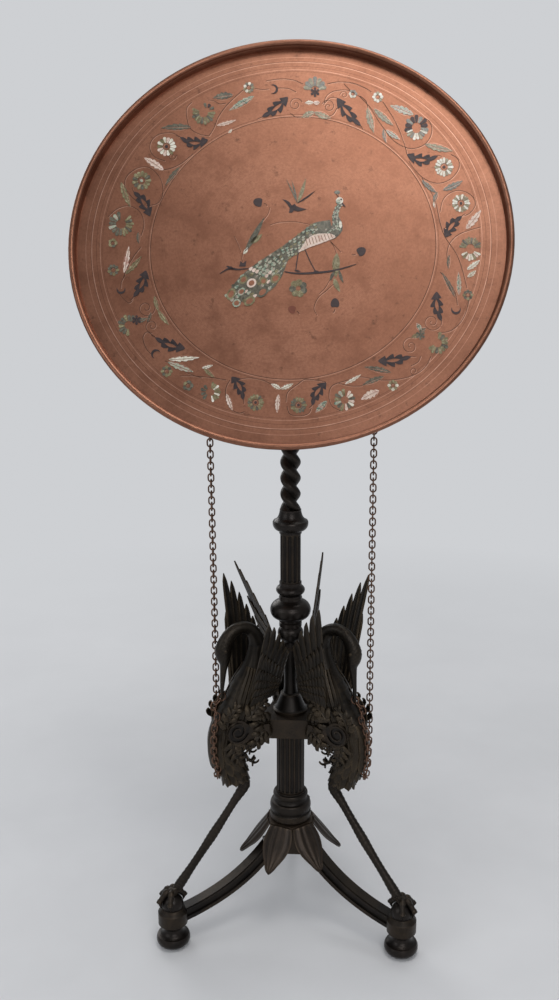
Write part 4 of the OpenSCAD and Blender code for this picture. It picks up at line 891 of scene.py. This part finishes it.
def stork_body():
    """Body with neck, head and beak, in rows of scales, and loose feathers over thighs and breast."""
    bag = Bag()
    rows = smooth(SPINE, 9)
    line = rows[:, :2]
    ways = np.array([unit(w) for w in np.gradient(line, axis=0)])
    ways[-1] = (0, -1)
    run = np.concatenate([[0], np.cumsum(np.linalg.norm(np.diff(line, axis=0), axis=1))])
    sides, rings = 48, []
    for (x, z, deep, wide), w, v in zip(rows, ways, run):
        body = min(1, max(0, (v - 92) / 60))
        ring = []
        for j in range(sides):
            a = math.tau * j / sides
            step = 5 + 4.5 * body
            row = math.floor(v / step)
            cell = ((a / math.tau) * (12 if body < 0.5 else 14) + 0.5 * (row % 2)) % 1 - 0.5
            lift = (0.25 + 0.85 * body) * ((v / step) % 1) * (1 - 2.4 * cell * cell) if v > 62 else 0
            if 36 < v < 62:
                lift = 0.35 * math.sin(v * 1.9) * math.sin(9 * a) * (v - 36) / 26
            c, s = (deep + lift) * math.cos(a), (wide * BODY_HALF + lift) * math.sin(a)
            ring.append((x + w[1] * c, s, STORK_Z + z - w[0] * c))
        rings.append(ring)
    loft(bag, rings)
    for hand in (-1, 1):
        for r, y in ((2.3, 7.0), (1.3, 8.6)):
            eye = []
            for u in np.linspace(-1.2, 1.5, 7):
                ring, out = r * math.cos(u), hand * (y + r * math.sin(u) * 0.7)
                eye.append([(79.4 + ring * math.cos(t), out, STORK_Z + 150 + ring * math.sin(t))
                            for t in np.arange(12) * math.tau / 12])
            loft(bag, eye)

    def skin_point(k, a, lift):
        """A point over the skin at a row of the spine and an angle round it."""
        k = min(max(k, 0), len(rows) - 1.001)
        i, f = int(k), k - int(k)
        x, z, deep, wide = rows[i] * (1 - f) + rows[i + 1] * f
        w = unit(ways[i] * (1 - f) + ways[i + 1] * f)
        c, s = (deep + lift) * math.cos(a), (wide * BODY_HALF + lift) * math.sin(a)
        return np.array((x + w[1] * c, s, STORK_Z + z - w[0] * c))

    for hand in (-1, 1):
        for i in range(8):
            a0, a1 = math.radians(150 - 12 * i), math.radians(118 - 15 * i)
            t = np.linspace(0, 1, 15)
            line = [skin_point(106 + 36 * s, hand * (a0 + (a1 - a0) * s), 0.6 + 1.6 * s) for s in t]
            middle = hand * (a0 + a1) / 2
            out = skin_point(124, middle, 5) - skin_point(124, middle, 0)
            blade(bag, line, out, feather_width(15, 3.0), 1.6, 0.3, 0.6, 1, 7)
    for start, drop, count, half, curl in TUFTS:
        for i in range(count):
            a = math.tau * (i + 0.5 * (start % 2)) / count
            reach = curl * (1.9 if math.cos(a) < -0.3 else 1.0)
            t = np.linspace(0, 1, 11)
            line = [skin_point(start + drop * s, a, 0.3 + 0.8 * s + reach * s ** 3) for s in t]
            line = [q - np.array((0, 0, max(0, start + drop * s - 161) * 1.3)) for q, s in zip(line, t)]
            lobed = feather_width(11, half) * (0.78 + 0.22 * np.abs(np.cos(2.5 * math.pi * t)))
            blade(bag, line, skin_point(start, a, 5) - skin_point(start, a, 0), lobed, 1.4, 0.16, 0.6, 1, 5)
    return bag


def wing(pose):
    """Left wing in the stork's own frame: layers of feathers, shoulder end down."""
    bag = Bag()
    lean, sent, turn = (math.radians(a) for a in pose)
    place = Matrix.Rotation(turn, 3, "Z") @ Matrix.Rotation(-lean, 3, "X") @ Matrix.Rotation(sent, 3, "Y")
    shoulder = np.array((64, 17.3, STORK_Z + 88))

    def to_stork(u, v, out):
        return shoulder + np.array(place @ Vector((-u, out, v)))

    face = np.array(place @ Vector((0, 1, 0)))

    def feather(root, tip, half, out, bow=2.0, n=11, taper=0.6):
        root, tip = np.array(root, float), np.array(tip, float)
        way = unit(tip - root)
        side = np.array((-way[1], way[0]))
        line = []
        for t in np.linspace(0, 1, n):
            u, v = root + (tip - root) * t + side * bow * math.sin(math.pi * t)
            line.append(to_stork(u, v, out + 0.8 * t * t))
        blade(bag, line, face, feather_width(n, half, taper), 1.7, 0.10, 0.45, 1, 7)

    for i, (u, v) in enumerate(((4, 135), (13, 125), (22, 111), (30, 96), (37, 81))):
        feather((7 + i * 5.5, 18), (u, v), 4.9, 1.8 + 0.3 * i, -3, 15, 0.5)
    for i in range(6):
        feather((15 + i * 3, 12), (43 - 0.4 * i, 70 - 8 * i), 4.0, 2.8 + 0.2 * i, -2)
    for i in range(7):
        feather((5 + i * 4.4, 11), (4 + i * 5.4, 92 - 7 * i), 3.9, 3.5 + 0.1 * (i % 2), -1.6)
    for i in range(9):
        feather((5 + i * 3.8, 9), (4.5 + i * 4.5, 68 - 5 * i), 3.3, 4.4 + 0.1 * (i % 2), -1.2)
    for i in range(9):
        feather((5 + i * 3.7, 8), (5 + i * 4.3, 50 - 3.4 * i), 3.1, 5.1 + 0.1 * (i % 2), -0.8)
    for i in range(9):
        feather((5 + i * 3.6, 7), (5.5 + i * 4.1, 35 - 2 * i), 2.9, 5.8 + 0.1 * (i % 2), 0)
    for i in range(9):
        feather((4.5 + i * 3.6, 5), (5.5 + i * 3.9, 22 - i), 2.7, 6.3 + 0.1 * (i % 2), 0)
    return bag


def stork_leg():
    """Leg from the thigh to the ball, and four toes that grip it."""
    bag = Bag()
    hock, top = np.array((57, 171.0)), np.array((BALL[0] - 10, BALL[1] + BALL[2] + 10.0))
    way = top - hock
    side = unit((way[1], -way[0]))
    pts = [(65, 0, 184, 9), (61.4, 0, 179.3, 7.2), (57, 0, 171, 6.3)]
    for i in range(1, 6):
        p = hock + way * i / 6 + side * math.sin(math.pi * i / 6)
        pts.append((p[0], 0, p[1], 4.5 * (1.16 if i == 3 else 1)))
    pts += [(top[0], 0, top[1], 5.4), (BALL[0] - 5, 0, BALL[1] + BALL[2] + 4.5, 4.6)]
    path = smooth(pts, 12)
    radii = path[:, 3] * (1 + 0.05 * np.cos(np.arange(len(path)) * 2.1))
    tube(bag, path[:, :3], radii, 16, (0, 1, 0))
    for turn, first, last in ((-60, -20, 100), (0, -20, 104), (60, -20, 100), (180, 4, 84)):
        angles = np.linspace(first, last, 26)
        t = np.linspace(0, 1, 26)
        joints = 0.8 * np.clip(np.cos(t * 17), 0, 1) * (t < 0.74)
        r = np.interp(t, [0, 0.72, 0.78, 1], [3.6, 2.8, 2.2, 0.3]) + joints
        reach = BALL[2] + 0.2 + r
        c, s = math.cos(math.radians(turn)), math.sin(math.radians(turn))
        line = [(BALL[0] + q * math.sin(a) * c, q * math.sin(a) * s, BALL[1] + q * math.cos(a))
                for a, q in zip(np.radians(angles), reach)]
        tube(bag, line, r, 12, (s, -c, 0))
    return bag


def acanthus(bag, line, out, half, lobes, curl=1.6):
    """A leaf with a rib and pairs of lobes along a line, looking outward."""
    path = smooth(line, 8)
    n = len(path)
    t = np.linspace(0, 1, n)
    blade(bag, path, out, half * 0.5 * np.sqrt(np.clip(1 - t ** 3, 0, 1)) + 0.2, 1.8, 0.3, 0.9, 1, 7)
    for i in range(lobes):
        share = (i + 0.25) / lobes
        k = max(1, int(share * (n - 2)))
        way = unit(path[k + 1] - path[k - 1])
        side = unit(np.cross(way, out))
        face = np.cross(side, way)
        l = half * (1.35 - 0.55 * share)
        for hand in (-1, 1):
            points = [path[k] - way, path[k] + (0.55 * hand * side + 0.25 * way) * l + face * curl,
                      path[k] + (0.92 * hand * side + 0.72 * way) * l + face * 0.2 * curl,
                      path[k] + (0.98 * hand * side + 1.05 * way) * l - face * curl]
            lobe = smooth(points, 4)
            m = len(lobe)
            wide = 0.34 * l * np.sin(np.linspace(0.5, math.pi, m)) ** 0.7 + 0.15
            blade(bag, lobe, face, wide, 1.5, 0.3, 0.5, 1, 5)


def bracket_leaves():
    """Acanthus over the scroll brackets, for both cheeks."""
    bag = Bag()
    for hand in (-1, 1):
        for line, half, lobes, curl in (
            ([(33, 14, 244), (42, 20, 241), (51, 22.4, 234), (56, 22.6, 225)], 7.5, 4, 1.8),
            ([(33, 14, 248), (44, 20.5, 252), (53, 22.5, 259), (58, 22.4, 268)], 7.5, 4, 1.8),
            ([(60, 22.8, 262), (53, 22.4, 269), (44, 21, 274), (36, 19.5, 276)], 7, 4, 1.6),
            ([(84, 18.5, 252), (82, 19.6, 262), (76, 20.4, 271), (68, 20.4, 277)], 6.5, 4, 1.4),
            ([(78, 20, 235), (77, 19, 226), (72, 17.4, 216), (66, 15.4, 208)], 6.5, 4, 1.6),
            ([(66, 19.4, 234), (61, 17.4, 226), (56, 14.6, 219)], 5, 3, 1.4),
        ):
            acanthus(bag, [(x, hand * y, z) for x, y, z in line], (0.1, hand, 0.12), half, lobes, curl)
    for line, half in (([(62, 0, 228), (57, 0, 218), (51, 0, 212), (46, 0, 214)], 6.5),
                       ([(60, 0, 212), (54, 0, 203), (48, 0, 198), (42.5, 0, 201)], 6.5)):
        acanthus(bag, line, (-1, 0, -0.5), half, 3, 1.6)
    return bag


def base_leaf():
    """One leaf of the base, that hangs out over the legs."""
    bag = Bag()
    a, c, b = np.array((24, 0, 116.5)), np.array((38.3, 0, 93.9)), np.array((58, 0, 77.5))
    t = np.linspace(0, 1, 30)
    line = [(1 - s) ** 2 * a + 2 * s * (1 - s) * c + s * s * b for s in t]
    swell = 0.78 + 0.22 * np.sin(math.pi * np.minimum(t * 1.25, 1))
    tip = np.sqrt(np.clip(1 - np.clip((t - 0.9) / 0.1, 0, 1) ** 2, 0.02, 1))
    width = BASE_LEAF_HALF * swell * (1 - 0.8 * t ** 3) * tip
    blade(bag, line, (0.7, 0, 0.7), width, 2.2, 0.2, 0.9, 4, 25)
    return bag


def rope_twist():
    """Column of two strands wound round each other."""
    bag, rings = Bag(), []
    low, high = TWIST_Z
    angles = np.arange(48) * math.tau / 48
    section = TWIST_R * (0.36 * abs(np.cos(angles)) + np.sqrt(0.64 ** 2 - (0.36 * np.sin(angles)) ** 2))
    for z in np.linspace(low, high, 240):
        spin = -math.tau * (z - low) / TWIST_PITCH
        rings.append([(r * math.cos(a + spin), r * math.sin(a + spin), z) for a, r in zip(angles, section)])
    loft(bag, rings)
    return bag


def dress_stand():
    body, claws, leaves = stork_body(), stork_leg(), bracket_leaves()
    for side, turn, poses in zip(SIDES, TURNS, WING_POSES):
        feathers, other = map(wing, poses)
        feathers.add([(x, -y, z) for x, y, z in other.v], other.f)
        for bag, name, paint, hides in (
            (body, "stork_body_", FEATHER, ("stork_" + side,)),
            (claws, "stork_claw_", BRONZE, ("stork_leg_" + side,)),
            (leaves, "acanthus_", FEATHER, ()),
            (feathers, "feathers_", FEATHER, ("wings_" + side,)),
        ):
            bag.moved(turned(turn)).put(name + side, paint, "dark_bronze", hides=hides, angle=60)
    one, leaves = base_leaf(), Bag()
    for i in range(6):
        leaf = one.moved(turned(60 * i + BASE_LEAF_TURN))
        leaves.add(leaf.v, leaf.f)
    leaves.put("hanging_leaves", BROWN, "brown_bronze", hides=("base_leaves",), angle=60)
    rope_twist().put("rope_twist", BRONZE, "dark_bronze", hides=("twist_shaft",), angle=70)


dress_stand()


# Finish of the solids that stay

PAINTS = {"copper_sheet": COPPER, "brass_fittings": BRASS, "steel_fixings": STEEL, "chain_copper": CHAIN,
          "brown_bronze": BROWN, "dark_bronze": BRONZE, "dark_inlay": INLAY["d"], "shell_inlay": INLAY["o"]}
POLISHED_NODES = ("claw_ball", "bun_foot", "ball_knop", "ring_knop", "small_knop", "collar_knop")
slots = {s["node"]: s["material_slot"] for s in frame["record"]["subparts"]}
for name, node in frame["nodes"].items():
    paint = PAINTS[slots[name]]
    if name.startswith(POLISHED_NODES):
        paint = POLISHED
    node.data.materials.clear()
    node.data.materials.append(paint)
